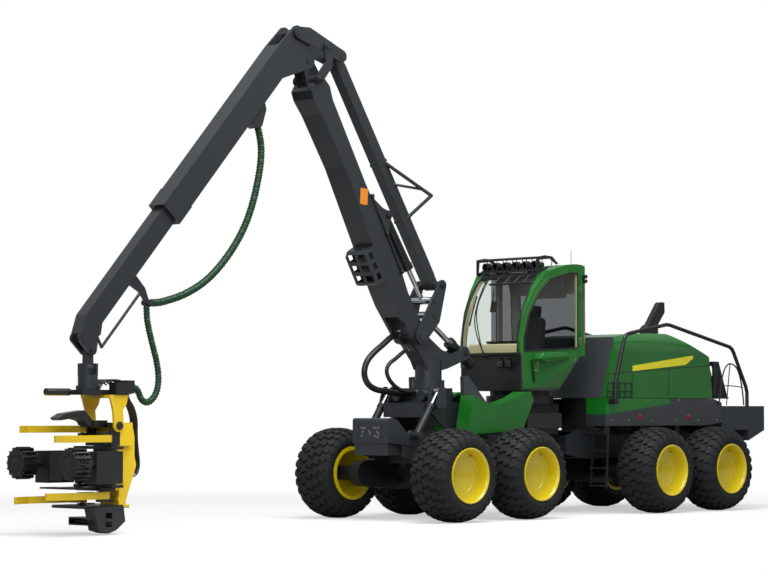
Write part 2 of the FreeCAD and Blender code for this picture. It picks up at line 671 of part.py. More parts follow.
# ---- crane pillar -----------------------------------------------------------------------
def make_pillar():
    """Slewing column, its fork for the boom's foot and the arm that carries the lift cylinder."""
    flange = post(SLEW_X, 0, SLEW_RING_R, SLEW_RING_Z + PIN_GAP, SLEW_RING_Z + 50)
    front = SLEW_X + COLUMN_R
    back = SLEW_X - COLUMN_R
    column = post(SLEW_X, 0, COLUMN_R, SLEW_RING_Z + 40, COLUMN_TOP_Z)
    inside = post(SLEW_X, 0, COLUMN_R - COLUMN_WALL, SLEW_RING_Z + 60, COLUMN_TOP_Z - COLUMN_WALL)
    cheek = plate_xz([(front - 30, 2200), (front + 40, 2330), (FOOT_X - 20, 2470),
                      (FOOT_X + 125, FOOT_Z - 60),
                      (FOOT_X + 90, FOOT_Z + 95), (FOOT_X - 70, FOOT_Z + 112), (-260, 2640), (-480, 2500),
                      (-700, 2440), (-880, 2500), (-960, 2565), (-1060, 2550), (-1110, 2440),
                      (-1040, 2370), (back - 80, 2225), (back + 30, 2200)], HEAD_Y0, HEAD_Y1)
    foot = pin_y(FOOT, FOOT_BOSS_R, HEAD_Y0, HEAD_Y1)
    web = plate_xz([(front - 20, 2240), (front + 50, 2345), (FOOT_X - 10, 2480),
                    (FOOT_X + 115, FOOT_Z - 130),
                    (FOOT_X - 60, FOOT_Z - 160), (-420, 2420), (-640, 2330), (back - 40, 2235),
                    (back + 20, 2230)], -HEAD_Y0, HEAD_Y0)
    trunnion = pin_y(TRUNNION, 88, HEAD_Y0, HEAD_Y1)
    bores = [pin_y(FOOT, FOOT_PIN_R + PIN_GAP, -400, 400), pin_y(TRUNNION, TRUNNION_R + PIN_GAP, -400, 400)]
    parts = [flange, column.cut(inside), web] + pair(fuse([cheek, foot, trunnion]))
    save("crane_pillar", [fuse(parts).cut(Part.makeCompound(bores))])


def make_lift_cylinder():
    """Trunnion cylinder behind the pillar that turns the rocker."""
    a = V(TRUNNION[0], 0, TRUNNION[1])
    b = V(LIFT_EYE[0], 0, LIFT_EYE[1])
    way = (b - a).normalize()
    body = rod(a - way * LIFT_BARREL_DOWN, a + way * LIFT_BARREL_UP, LIFT_BARREL_R)
    gland = rod(a + way * (LIFT_BARREL_UP - 90), a + way * LIFT_BARREL_UP, LIFT_BARREL_R * 1.1)
    cross = pin_y(TRUNNION, TRUNNION_R, -HEAD_Y1 - 8, HEAD_Y1 + 8)
    bore = rod(a - way * (LIFT_BARREL_DOWN - 60), a + way * (LIFT_BARREL_UP + 5), LIFT_ROD_R + PIN_GAP)
    save("lift_barrel", [fuse([body, gland, cross]).cut(bore)])
    eye_r = 58.0
    stem = rod(a + way * 40, b, LIFT_ROD_R)
    eye = pin_y(LIFT_EYE, eye_r, -ROCKER_Y0 + 10, ROCKER_Y0 - 10)
    save("lift_rod", [fuse([stem, eye])])


def make_rocker():
    """Two plates on the foot pin, joined by the bar's pin and by a torsion tube."""
    cheek = boss_plate([boss(FOOT, 118), boss(BAR_LOW, 78), (LIFT_EYE[0] - 25, LIFT_EYE[1] - 60, 80)],
                       ROCKER_Y0, ROCKER_Y1)
    caps = [pin_y(at, r, ROCKER_Y1, ROCKER_Y1 + 12)
            for at, r in ((FOOT, 70), (BAR_LOW, 48), (REACH_EYE, 45), (LIFT_EYE, 45))]
    foot_pin = pin_y(FOOT, FOOT_PIN_R, -ROCKER_Y1, ROCKER_Y1)
    bar_pin = pin_y(BAR_LOW, BAR_PIN_R, -ROCKER_Y1, ROCKER_Y1)
    save("lift_rocker", [fuse(pair(fuse([cheek] + caps)) + [foot_pin, bar_pin])])


# ---- main boom --------------------------------------------------------------------------
BOOM_HEAD_U = BOOM_LENGTH - 296.5
BOOM_OUTLINE = [(40, -165), (640, -250), (900, -250), (2850, -165), (BOOM_HEAD_U - 450, -205),
                (BOOM_HEAD_U - 190, -245), (BOOM_HEAD_U - 60, -225), (BOOM_HEAD_U, -120),
                (BOOM_HEAD_U, 90), (BOOM_HEAD_U - 170, 140), (BOOM_HEAD_U - 370, 98), (2450, 95),
                (1350, 130), (1000, 120), (670, 85), (285, 110), (40, 115)]


def make_boom():
    """Box-section boom: side plates folded to a closed box, forked foot and twin head ears."""
    outer = plate_xz([boom_at(u, w) for u, w in BOOM_OUTLINE], -BOOM_HALF_W, BOOM_HALF_W)
    core = outline([V(x, 0, z) for x, z in (boom_at(u, w) for u, w in BOOM_OUTLINE)])
    cavity = core.makeOffset2D(-BOOM_WALL).extrude(V(0, 2 * (BOOM_HALF_W - BOOM_WALL), 0))
    cavity.translate(V(0, BOOM_WALL - BOOM_HALF_W, 0))
    in_y = BOOM_HALF_W - FORK_CHEEK
    cheek = boss_plate([boss(FOOT, FOOT_BOSS_R), boss(boom_at(560, -90), 120),
                        boss(boom_at(560, -60), 120)], in_y, BOOM_HALF_W)
    gap = plate_xz([boom_at(u, w) for u, w in ((-220, -320), (BOOM_FORK_U, -320), (BOOM_FORK_U, 320),
                                               (-220, 320))], -in_y, in_y)
    ear = boss_plate([boss(boom_at(BOOM_HEAD_U - 90, 30), 120), boss(boom_at(BOOM_HEAD_U - 90, -60), 120),
                      boss(ELBOW, EAR_R)], EAR_Y0, EAR_Y1)
    stiffener = pin_y(LINK_FOOT, 70, -EAR_Y0, EAR_Y0)
    bracket = fuse([plate_xz([boom_at(u, w) for u, w in ((2450, 85), (1950, 330), (1830, 440),
                                                         (1760, 430), (1620, 300), (1330, 115))],
                             BRACKET_Y0, BRACKET_Y1),
                    pin_y(REACH_TOP, 72, BRACKET_Y0, BRACKET_Y1)])
    reach_pin = pin_y(REACH_TOP, REACH_PIN_R, -BRACKET_Y1 - 15, BRACKET_Y1 + 15)
    link_pin = pin_y(LINK_FOOT, LINK_PIN_R, -LINK_Y1 - 12, LINK_Y1 + 12)
    link_boss = pair(pin_y(LINK_FOOT, 60, EAR_Y1 - 5, LINK_Y0 - PIN_GAP))
    bores = [pin_y(FOOT, FOOT_PIN_R + PIN_GAP, -400, 400), pin_y(ELBOW, HEAD_PIN_R + PIN_GAP, -400, 400)]
    shell = outer.cut(cavity).cut(gap)
    parts = [shell, stiffener, reach_pin, link_pin] + link_boss + pair(cheek) + pair(ear) + pair(bracket)
    save("main_boom", [fuse(parts).cut(Part.makeCompound(bores))])


def make_boom_lamp():
    """Slotted guard box round the work lamps on the boom's front face."""
    u0, u1, w0, w1, half = 1050.0, 1600.0, -252.0, -430.0, 215.0
    shell = plate_xz([boom_at(u, w) for u, w in ((u0, w0), (u0, w1 + 40), (u0 + 40, w1), (u1 - 60, w1),
                                                 (u1, w1 + 70), (u1, w0))], -half, half)
    inside = plate_xz([boom_at(u, w) for u, w in ((u0 + 12, w0), (u0 + 12, w1 + 46), (u0 + 46, w1 + 12),
                                                  (u1 - 64, w1 + 12), (u1 - 12, w1 + 74), (u1 - 12, w0))],
                      -half + 12, half - 12)
    slots = []
    for row in range(3):
        u = u0 + 70 + 165 * row
        for low in (-half + 35, 25):
            slots.append(plate_xz([boom_at(u, w0 - 20), boom_at(u, w1 - 30), boom_at(u + 110, w1 - 30),
                                   boom_at(u + 110, w0 - 20)], low, low + half - 60))
        slots.append(plate_xz([boom_at(u, w0 - 45), boom_at(u, w1 + 50), boom_at(u + 100, w1 + 50),
                               boom_at(u + 100, w0 - 45)], -half - 5, half + 5))
    (seat_u0, seat_w0), (seat_u1, seat_w1) = BOOM_OUTLINE[2:4]
    slope = (seat_w1 - seat_w0) / (seat_u1 - seat_u0)
    seat = [(u, seat_w0 + slope * (u - seat_u0) - SEAT_GAP) for u in (u0, u1)]
    back = plate_xz([boom_at(u, w) for u, w in seat + [(u1, w0 - 14), (u0, w0 - 14)]], -half, half)
    shade = shell.cut(inside).cut(Part.makeCompound(slots))
    save("boom_lamp", [fuse([shade, back])])


def make_bar():
    """Square-tube bar that keeps the jib's motion in step, with its tubular hose guard."""
    a = V(BAR_LOW[0], 0, BAR_LOW[1])
    b = V(BAR_HIGH[0], 0, BAR_HIGH[1])
    way = (b - a).normalize()
    side = V(-way.z, 0, way.x)

    def at(s, t):
        p = a + way * s + side * t
        return (p.x, p.z)

    length = (b - a).Length
    h = BAR_HALF
    tube = plate_xz([at(150, -h), at(length - 150, -h), at(length - 150, h), at(150, h)], -h, h)
    bore = plate_xz([at(160, BAR_WALL - h), at(length - 160, BAR_WALL - h), at(length - 160, h - BAR_WALL),
                     at(160, h - BAR_WALL)], BAR_WALL - h, h - BAR_WALL)
    low_eye = fuse([boss_plate([boss(at(0, 0), 75), boss(at(200, 0), 82)], -h, h),
                    pin_y(BAR_LOW, 60, -ROCKER_Y0 + 8, ROCKER_Y0 - 8)])
    high_eye = fuse([boss_plate([boss(at(length - 200, 0), 82), boss(at(length, 0), 70)], -h, h),
                     pin_y(BAR_HIGH, 55, 8 - KNEE_Y0, KNEE_Y0 - 8)])
    low_eye = low_eye.cut(pin_y(BAR_LOW, BAR_PIN_R + PIN_GAP, -400, 400))

    def guard_at(s, t, y):
        x, z = at(s, t)
        return V(x, y, z)

    guard = tube_path([guard_at(2080, 40, h - 20), guard_at(1290, 400, BAR_GUARD_Y),
                       guard_at(1130, 20, h - 20)], BAR_GUARD_R)
    brace = rod(guard_at(1700, 40, h - 20), guard_at(1440, 330, BAR_GUARD_Y - 60), BAR_GUARD_R - 6)
    clamps = [plate_xz([at(s, -h - 8), at(s + 40, -h - 8), at(s + 40, h + 8), at(s, h + 8)], -h - 8, h + 8)
              for s in (1110, 2060)]
    parts = [tube.cut(bore), low_eye, high_eye] + clamps + pair(fuse([guard, brace]))
    save("parallel_bar", [fuse(parts)])


def make_knee():
    """Elbow rocker between bar and jib, and the curved links that steady it on the boom."""
    plate = boss_plate([boss(BAR_HIGH, KNEE_R), boss(KNEE_B, 90), boss(KNEE_A, KNEE_R),
                        boss(KNEE_HUMP, 60)], KNEE_Y0, KNEE_Y1)
    caps = [pin_y(at, 46, KNEE_Y1, KNEE_Y1 + 8) for at in (BAR_HIGH, KNEE_A)]
    knee_pin = pin_y(KNEE_A, HEAD_PIN_R, -KNEE_Y1, KNEE_Y1)
    tie = pin_y((KNEE_HUMP[0] - 150, KNEE_HUMP[1] - 45), 28, -KNEE_Y0 - 5, KNEE_Y0 + 5)
    save("knuckle_rocker", [fuse(pair(fuse([plate] + caps)) + [knee_pin, tie])])
    bend = boom_at((LINK_FOOT_U + KNEE_B_U) / 2 - 60, (LINK_FOOT_W + KNEE_B_W) / 2 + 75)
    arm = fuse([boss_plate([boss(LINK_FOOT, LINK_R), boss(bend, LINK_R)], LINK_Y0, LINK_Y1),
                boss_plate([boss(bend, LINK_R), boss(KNEE_B, LINK_R)], LINK_Y0, LINK_Y1),
                pin_y(KNEE_B, 44, LINK_Y1, LINK_Y1 + 12)])
    arm = arm.cut(pin_y(LINK_FOOT, LINK_PIN_R + PIN_GAP, LINK_Y0 - 5, LINK_Y1 + 5))
    save("knuckle_link", pair(arm))


# ---- jib --------------------------------------------------------------------------------
def jib_box(u0, u1, half_d, half_w):
    corners = ((u0, -half_d), (u1, -half_d), (u1, half_d), (u0, half_d))
    return plate_xz([jib_at(u, JIB_MID_V + v) for u, v in corners], -half_w, half_w)


def make_jib():
    """Outer box of the jib with its two elbow plates and the collar the extension slides in."""
    shell = jib_box(JIB_START_U, JIB_END_U, JIB_HALF_D, JIB_HALF_W)
    inside = jib_box(JIB_START_U + JIB_WALL, JIB_END_U + 10, JIB_HALF_D - JIB_WALL, JIB_HALF_W - JIB_WALL)
    collar = jib_box(JIB_END_U - COLLAR_LEN, JIB_END_U, JIB_HALF_D + 8, JIB_HALF_W + 8)
    mouth = jib_box(JIB_END_U - COLLAR_LEN - 5, JIB_END_U + 10, EXT_HALF_D + PIN_GAP, EXT_HALF_W + PIN_GAP)
    plate = boss_plate([boss(KNEE_A, 105), boss(ELBOW, EAR_R), boss(jib_at(560, -235), 50),
                        boss(jib_at(760, -495), 50), boss(jib_at(260, -510), 35)],
                       JIB_PLATE_Y0, JIB_PLATE_Y1)
    elbow_pin = pin_y(ELBOW, HEAD_PIN_R, -JIB_PLATE_Y1 - 14, JIB_PLATE_Y1 + 14)
    bore = pin_y(KNEE_A, HEAD_PIN_R + PIN_GAP, -400, 400)
    housing = plate_xz([jib_at(u, v) for u, v in ((980, -190), (1060, -60), (1290, 40), (1400, -20),
                                                  (1430, -190))], -70, 70)
    parts = [shell.cut(inside), collar.cut(mouth), elbow_pin, housing] + pair(plate)
    save("jib", [fuse(parts).cut(bore)])


def make_extension():
    """Telescoping box with its cranked tip fork and the lug that holds the hoses off it."""
    shell = jib_box(EXT_START_U, EXT_END_U, EXT_HALF_D, EXT_HALF_W)
    inside = jib_box(EXT_START_U + EXT_WALL, EXT_END_U - EXT_WALL, EXT_HALF_D - EXT_WALL,
                     EXT_HALF_W - EXT_WALL)
    top = JIB_MID_V - EXT_HALF_D
    low = JIB_MID_V + EXT_HALF_D
    nose = plate_xz([jib_at(u, v) for u, v in ((EXT_END_U - 100, top), (EXT_END_U, top), (TIP_U - 30, -400),
                                               (TIP_U + 30, -300), (TIP_U - 40, -200),
                                               (EXT_END_U + 30, -150),
                                               (EXT_END_U - 100, low))], -EXT_HALF_W, EXT_HALF_W)
    fork = boss_plate([boss(jib_at(EXT_END_U + 60, -250), 70), boss(TIP, 68),
                       boss(jib_at(TIP_U - 10, -330), 70)], TIP_FORK_Y0, TIP_FORK_Y1)
    tip_pin = pin_y(TIP, TIP_PIN_R, -TIP_FORK_Y1 - 8, TIP_FORK_Y1 + 8)
    lug = plate_xz([jib_at(u, v) for u, v in ((HOSE_CLAMP_U - 120, low - 5), (HOSE_CLAMP_U - 100, 40),
                                              (HOSE_CLAMP_U - 20, HOSE_CLAMP_V),
                                              (HOSE_CLAMP_U + 40, HOSE_CLAMP_V),
                                              (HOSE_CLAMP_U, 20), (HOSE_CLAMP_U + 60, low - 5))], -22, 22)
    clamp = pin_y(CLAMP, CLAMP_R, -75, 75)
    pipe_ends = [jib_at(HOSE_CLAMP_U - 30, 30), jib_at(TIP_U - 180, 30), jib_at(EXT_END_U + 10, -190)]
    pipe = tube_path([V(x, 0, z) for x, z in pipe_ends], 20)
    save("jib_extension", [fuse([shell.cut(inside), nose, tip_pin, lug, clamp, pipe] + pair(fork))])


def make_reach_cylinder():
    """Cylinder between the boom's back and the rocker, which lays the crane out and in."""
    half = BRACKET_Y0 - 6
    barrel = cylinder_barrel(REACH_TOP, REACH_EYE, 0, REACH_BARREL_R, REACH_BARREL_LEN, REACH_ROD_R, 62)
    eye = pin_y(REACH_TOP, 62, -half, half)
    bore = pin_y(REACH_TOP, REACH_PIN_R + PIN_GAP, -100, 100)
    save("reach_barrel", [fuse([barrel, eye]).cut(bore)])
    stem = cylinder_rod(REACH_TOP, REACH_EYE, 0, REACH_ROD_R, REACH_BARREL_LEN - 640, 50)
    rod_eye = pin_y(REACH_EYE, 55, -ROCKER_Y0 + 10, ROCKER_Y0 - 10)
    save("reach_rod", [fuse([stem, rod_eye])])


# ---- felling head -----------------------------------------------------------------------
def make_hanger():
    """Swing-damper link under the jib's tip, its cross pin and the rotator."""
    eye = pin_y((HANG_X, HANG_Z), 62, PIN_GAP - TIP_FORK_Y0, TIP_FORK_Y0 - PIN_GAP)
    eye = eye.cut(pin_y((HANG_X, HANG_Z), TIP_PIN_R + PIN_GAP, -100, 100))
    shank = box(HANG_X - 52, HANG_X + 52, -50, 50, CROSS_Z - 60, HANG_Z - 50)
    cross = Part.makeCylinder(62, 200, V(HANG_X - 100, 0, CROSS_Z), V(1, 0, 0))
    jaws = [box(HANG_X + x - 20, HANG_X + x + 20, -85, 85, ROTATOR_TOP - 10, CROSS_Z + 60)
            for x in (-82, 82)]
    rotator = post(HANG_X, 0, ROTATOR_R, ROTATOR_BOTTOM, ROTATOR_TOP)
    flange = post(HANG_X, 0, ROTATOR_R + 25, ROTATOR_BOTTOM, ROTATOR_BOTTOM + 30)
    save_hung("hanger", [fuse([eye, shank, cross, rotator, flange] + jaws)])


def make_yoke():
    """Turning bracket under the rotator with the valve block and two legs to the tilt pins."""
    flange = post(HANG_X, 0, ROTATOR_R + 25, YOKE_BLOCK_TOP - 5, YOKE_FLANGE_TOP)
    block = box(5640, 6380, -190, 190, YOKE_BLOCK_LOW, YOKE_BLOCK_TOP)
    valve = box(5660, 5930, 195 - 10, 330, YOKE_BLOCK_LOW + 10, 1960)
    rear = box(YOKE_REAR_X, 5700, 60, 260, YOKE_REAR_Z, 1990)
    boom_light = Part.makeCylinder(48, 380, V(6370, -90, 1835), V(1, 0, 0))
    arch = box(5700, 6010, -YOKE_LEG_Y1, YOKE_LEG_Y1, YOKE_ARCH_LOW, YOKE_BLOCK_LOW + 5)
    leg = plate_xz([(5700, YOKE_BLOCK_LOW), (5730, 1680), (5790, 1600), (5770, 1400), (5930, 1400),
                    (5950, 1600), (6010, YOKE_BLOCK_LOW)], YOKE_LEG_Y0, YOKE_LEG_Y1)
    eye = pin_y((HEAD_TILT_X, HEAD_TILT_Z), 82, YOKE_LEG_Y0, YOKE_LEG_Y1)
    pin = pin_y((HEAD_TILT_X, HEAD_TILT_Z), YOKE_PIN_R, BODY_HALF_W - 40, YOKE_LEG_Y1 + 10)
    parts = [flange, block, valve, rear, boom_light, arch] + pair(fuse([leg, eye, pin]))
    save_hung("head_yoke", [fuse(parts)])


def make_head_frame():
    """Head frame: yellow back plate, body box, guide plates, fixed knife and saw box."""
    spine = plate_xz([(SPINE_X0 + 40, SPINE_TOP), (SPINE_X0, 1250), (SPINE_X0, 1000), (SPINE_X0 - 30, 890),
                      (SPINE_X0 - 20, 850), (SPINE_X0 + 160, SPINE_LOW + 20), (SPINE_X1 + 150, SPINE_LOW),
                      (SPINE_X1 + 220, 440), (SPINE_X1 + 130, 700), (SPINE_X1 + 170, 870),
                      (SPINE_X1 + 220, 1000), (SPINE_X1 + 220, SPINE_TOP)],
                     -SPINE_HALF_W, SPINE_HALF_W)
    body = box(SPINE_X1 + 30, BODY_FRONT_X, -BODY_HALF_W, BODY_HALF_W, 1140, 1440)
    inside = box(SPINE_X1 + 60, BODY_FRONT_X + 5, -BODY_HALF_W + 25, BODY_HALF_W - 25, 1165, 1415)
    post_box = box(SPINE_X1 + 60, 5900, -170, 170, 560, 1145)
    top_mount = box(5900, 6120, -120, 120, 1380, 1470)
    top_knife = plate_xz([(6080, 1400), (6120, 1470), (6250, 1600), (6560, 1560), (6680, 1500),
                          (6640, 1470), (6420, 1500), (6260, 1460), (6180, 1390)], -90, 90)
    knife_pins = [fuse([post(KNIFE_PIN_X, y, KNIFE_PIN_R, z - 45, z + KNIFE_THICK + 45),
                        box(5890, KNIFE_PIN_X + 45, y - 50, y + 50, z - 45, z - 6),
                        box(5890, KNIFE_PIN_X + 45, y - 50, y + 50, z + KNIFE_THICK + 6,
                            z + KNIFE_THICK + 45)])
                  for side in (-1, 1) for y in (side * KNIFE_PIN_Y,) for z in KNIFE_Z[side]]
    low_plate = box(5870, 6120, -BODY_HALF_W, BODY_HALF_W, 560, 600)
    arm_lugs = [fuse([box(5850, ARM_PIN_X + 50, y - 60, y + 60, z, z + 40)])
                for y in (-ARM_PIN_Y, ARM_PIN_Y) for z in (600, 1095)]
    arm_pins = [post(ARM_PIN_X, y, ARM_PIN_R, 600, 1135) for y in (-ARM_PIN_Y, ARM_PIN_Y)]
    arm_beams = [box(5850, ARM_PIN_X - 20, -ARM_PIN_Y, ARM_PIN_Y, z, z + 40) for z in (600, 1095)]
    saw_top = box(5700, 6450, -330, 330, SAW_TOP_Z - 60, SAW_TOP_Z - 20)
    saw_box = plate_xz([(SAW_X0, SAW_TOP_Z - 40), (SAW_X0 - 30, 170), (SAW_X0 + 120, 60), (6120, SAW_LOW_Z),
                        (SAW_X1 - 100, 60), (SAW_X1 - 20, SAW_TOP_Z - 40)], 215, 420)
    windows = [box(6060, 6170, 330, 430, z, z + 70) for z in (105, 215)]
    sweep_y0 = SAW_PIN_Y - SAW_BAR_LEN - 20
    sweep = [box(SAW_PIN_X - SAW_BAR_HALF - 15, 6700, 200, SAW_PIN_Y + SAW_BAR_HALF + 10,
                 SAW_BAR_Z - 25, SAW_BAR_Z + 40),
             box(SAW_PIN_X - SAW_BAR_HALF - 15, 6700, sweep_y0, 210, SAW_BAR_Z - 25, SAW_BAR_Z + 40)]
    trough = box(SAW_PIN_X - 130, SAW_PIN_X + 90, sweep_y0 - 15, 220, SAW_BAR_Z - 45, SAW_BAR_Z + 60)
    trough_web = box(SAW_PIN_X - 125, SAW_PIN_X - 85, -220, 230, SAW_BAR_Z, SAW_TOP_Z - 30)
    saw_shaft = post(SAW_PIN_X, SAW_PIN_Y, SAW_PIN_R, SAW_BAR_Z - 40, SAW_BAR_Z + 60)
    back_web = box(5640, 5760, -190, 190, SAW_TOP_Z - 40, 620)
    rest = box(6600, 6660, -120, 120, 700, 1060)
    rest_stem = box(5890, 6610, -70, 70, 840, 920)
    guide = box(6100, 6650, -200, 200, 590, 612)
    guide_wings = box(6420, 6650, -330, 330, 590, 612)
    saw = fuse([saw_box, trough, trough_web]).cut(Part.makeCompound(sweep + windows)).fuse(saw_shaft)
    parts = [spine, body.cut(inside), post_box, top_mount, top_knife, low_plate, saw_top, saw, back_web]
    parts += [rest, rest_stem, guide, guide_wings] + knife_pins + arm_lugs + arm_pins + arm_beams
    bores = pair(pin_y((HEAD_TILT_X, HEAD_TILT_Z), YOKE_PIN_R + PIN_GAP, 200, 300))
    save_hung("head_frame", [fuse(parts).cut(Part.makeCompound(bores))])


def knife_blade(z, reach, out):
    """One curved arm about an upright pin, hooked round the trunk's space."""
    points = [(KNIFE_PIN_X - 55, KNIFE_PIN_Y - 30), (KNIFE_PIN_X, KNIFE_PIN_Y - 58),
              (KNIFE_PIN_X + 60, KNIFE_PIN_Y - 20), (KNIFE_PIN_X + 130, out - 90),
              (LOG_X, out - 45), (LOG_X + reach - 60, out - 110), (LOG_X + reach, out - 150),
              (LOG_X + reach + 20, out - 100), (LOG_X + reach - 60, out - 20), (LOG_X, out + 20),
              (KNIFE_PIN_X + 60, out - 5), (KNIFE_PIN_X - 40, out - 110)]
    blade = plate_xy(points, z, z + KNIFE_THICK)
    return blade.cut(post(KNIFE_PIN_X, KNIFE_PIN_Y, KNIFE_PIN_R + PIN_GAP, z - 5, z + KNIFE_THICK + 5))


def make_knives():
    """Upper and lower delimbing knives, the right pair set lower or higher so that they cross."""
    for name, side in (("knife_left", 1), ("knife_right", -1)):
        upper, lower = KNIFE_Z[side]
        blades = [knife_blade(upper, UPPER_REACH, 470), knife_blade(lower, LOWER_REACH, 430)]
        save_hung(name, [blade if side > 0 else mirrored(blade) for blade in blades])


def make_feed_arms():
    """Arms that press the feed rollers on the trunk, each with its motor box."""
    for name, side in (("feed_arm_left", 1), ("feed_arm_right", -1)):
        hub = post(ARM_PIN_X, ARM_PIN_Y, 58, 646, 1089)
        bore = post(ARM_PIN_X, ARM_PIN_Y, ARM_PIN_R + PIN_GAP, 640, 1095)
        motor = box(ARM_PIN_X + 60, 6490, ARM_PIN_Y + 30, ROLLER_Y + 90, 660, 1075)
        neck = box(ARM_PIN_X - 10, ARM_PIN_X + 90, ARM_PIN_Y + 20, ARM_PIN_Y + 110, 700, 1040)
        shaft = Part.makeCylinder(55, ROLLER_X0 - 6480 - SEAT_GAP, V(6480, ROLLER_Y, ROLLER_Z), V(1, 0, 0))
        arm = fuse([hub, motor, neck, shaft]).cut(bore)
        save_hung(name, [arm if side > 0 else mirrored(arm)])


def make_feed_rollers():
    """Spiked steel rollers that pull the trunk through the knives."""
    for name, side in (("feed_roller_left", 1), ("feed_roller_right", -1)):
        drum = Part.makeCylinder(ROLLER_R, ROLLER_X1 - ROLLER_X0, V(ROLLER_X0, ROLLER_Y, ROLLER_Z),
                                 V(1, 0, 0))
        ribs = []
        for index in range(ROLLER_SPIKES):
            rib = box(ROLLER_X0 + 10, ROLLER_X1 - 10, ROLLER_Y - 8, ROLLER_Y + 8,
                      ROLLER_Z + ROLLER_R - 6, ROLLER_Z + ROLLER_R + ROLLER_SPIKE)
            rib.rotate(V(0, ROLLER_Y, ROLLER_Z), V(1, 0, 0), 360.0 * index / ROLLER_SPIKES)
            ribs.append(rib)
        roller = fuse([drum] + ribs)
        save_hung(name, [roller if side > 0 else mirrored(roller)])


def make_saw_bar():
    """Guide bar and chain, swung across the trunk from its shaft in the saw box."""
    x, y, half = SAW_PIN_X, SAW_PIN_Y, SAW_BAR_HALF
    tip_y = y - SAW_BAR_LEN + half
    blade = fuse([box(x - half, x + half, tip_y, y, SAW_BAR_Z, SAW_BAR_Z + SAW_BAR_THICK),
                  post(x, tip_y, half, SAW_BAR_Z, SAW_BAR_Z + SAW_BAR_THICK),
                  post(x, y, half, SAW_BAR_Z - 10, SAW_BAR_Z + SAW_BAR_THICK + 10)])
    save_hung("saw_bar", [blade.cut(post(x, y, SAW_PIN_R + PIN_GAP, SAW_BAR_Z - 20, SAW_BAR_Z + 40))])


# ---- cab --------------------------------------------------------------------------------
CAB_SIDE = [(-1720, 1900), (-1712, 2430), (CAB_FRONT_X, 2680), (-1800, 3100), (-1996, 3454),
            (-2200, 3715), (-2600, 3835), (-2780, CAB_ROOF_Z), (-2900, 3838), (-3060, 3790), (-3115, 3490),
            (CAB_REAR_X, 2530), (-3110, 2450), (-2830, CAB_WAIST_Z), (-2640, 2060), (-2550, 1900)]
CAB_PLAN = [(CAB_FRONT_X, -CAB_FRONT_HALF), (CAB_FRONT_X, CAB_FRONT_HALF), (-2870, CAB_HALF_W),
            (-2960, CAB_HALF_W), (CAB_REAR_X, 700), (CAB_REAR_X, -700), (-2960, -CAB_HALF_W),
            (-2870, -CAB_HALF_W)]
CAB_SECTION = [(-CAB_HALF_W - 5, 4000), (-CAB_HALF_W - 5, CAB_WAIST_Z), (-CAB_LOW_HALF, 1895),
               (CAB_LOW_HALF, 1895), (CAB_HALF_W + 5, CAB_WAIST_Z), (CAB_HALF_W + 5, 4000)]


def cab_roof_at(x):
    """Height just above the roof's front slope at x."""
    (x0, z0), (x1, z1) = CAB_SIDE[5:7]
    return z0 + (z1 - z0) * (x - x0) / (x1 - x0) + SEAT_GAP


def cab_form(inset):
    """The cab's whole outer form, drawn in all round by inset."""
    side = Part.Face(Part.makePolygon([V(x, 0, z) for x, z in CAB_SIDE + CAB_SIDE[:1]]))
    plan = Part.Face(Part.makePolygon([V(x, y, 0) for x, y in CAB_PLAN + CAB_PLAN[:1]]))
    section = Part.Face(Part.makePolygon([V(-4000, y, z) for y, z in CAB_SECTION + CAB_SECTION[:1]]))
    if inset:
        side = side.makeOffset2D(-inset)
        plan = plan.makeOffset2D(-inset)
        section = section.makeOffset2D(-inset)
    long_side = side.extrude(V(0, 2400, 0))
    long_side.translate(V(0, -1200, 0))
    tall_plan = plan.extrude(V(0, 0, 2400))
    tall_plan.translate(V(0, 0, 1700))
    return long_side.common(tall_plan).common(section.extrude(V(4000, 0, 0)))


DOOR_OUTLINE = [(-1770, 2100), (-1755, 2430), (-1748, 2680), (-1848, 3085), (-2040, 3425),
                (-2245, 3640), (-2620, 3755), (-2840, 3755), (-2840, 2540), (-2770, 2420),
                (-2610, 2110), (-2530, 1985), (-2440, 1945), (-1930, 1945), (-1820, 1995)]
DOOR_WINDOW = [(-1800, 2500), (-1794, 2690), (-1890, 3067), (-2076, 3393), (-2268, 3598),
               (-2630, 3708), (-2795, 3708), (-2795, 2562)]
RIGHT_WINDOW = [(-1806, 2480), (-1800, 2690), (-1896, 3067), (-2082, 3393), (-2274, 3590),
                (-2630, 3700), (-2790, 3700), (-2790, 2480)]
REAR_SIDE_WINDOW = [(-2900, 2640), (-2900, 3640), (-3040, 3640), (-3066, 3450), (-3085, 2640)]


def grown(points, amount):
    face = Part.Face(Part.makePolygon([V(x, 0, z) for x, z in points + points[:1]]))
    return face.makeOffset2D(amount)


def door_cut(amount):
    prism = grown(DOOR_OUTLINE, amount).extrude(V(0, 700, 0))
    prism.translate(V(0, 400, 0))
    return prism


def window_cuts():
    """Prisms through the walls for the windscreen, right side, rear and rear corner panes."""
    screen = box(-2560, -1500, SCREEN_MARGIN - CAB_FRONT_HALF, CAB_FRONT_HALF - SCREEN_MARGIN, 2470, 3640)
    roof_cut = plate_xz([(-1500, 2470), (-1780, 2470), (-1790, 2700), (-1880, 3080), (-2070, 3390),
                         (-2270, 3600), (-2250, 3720), (-1500, 3720)],
                        SCREEN_MARGIN - CAB_FRONT_HALF, CAB_FRONT_HALF - SCREEN_MARGIN)
    right = plate_xz(RIGHT_WINDOW, -1000, -400)
    corner = plate_xz(REAR_SIDE_WINDOW, 400, 1000)
    corner_right = plate_xz(REAR_SIDE_WINDOW, -1000, -400)
    rear = box(-3400, -3060, -600, 600, 2560, 3420)
    return [screen.common(roof_cut), right, corner, corner_right, rear]


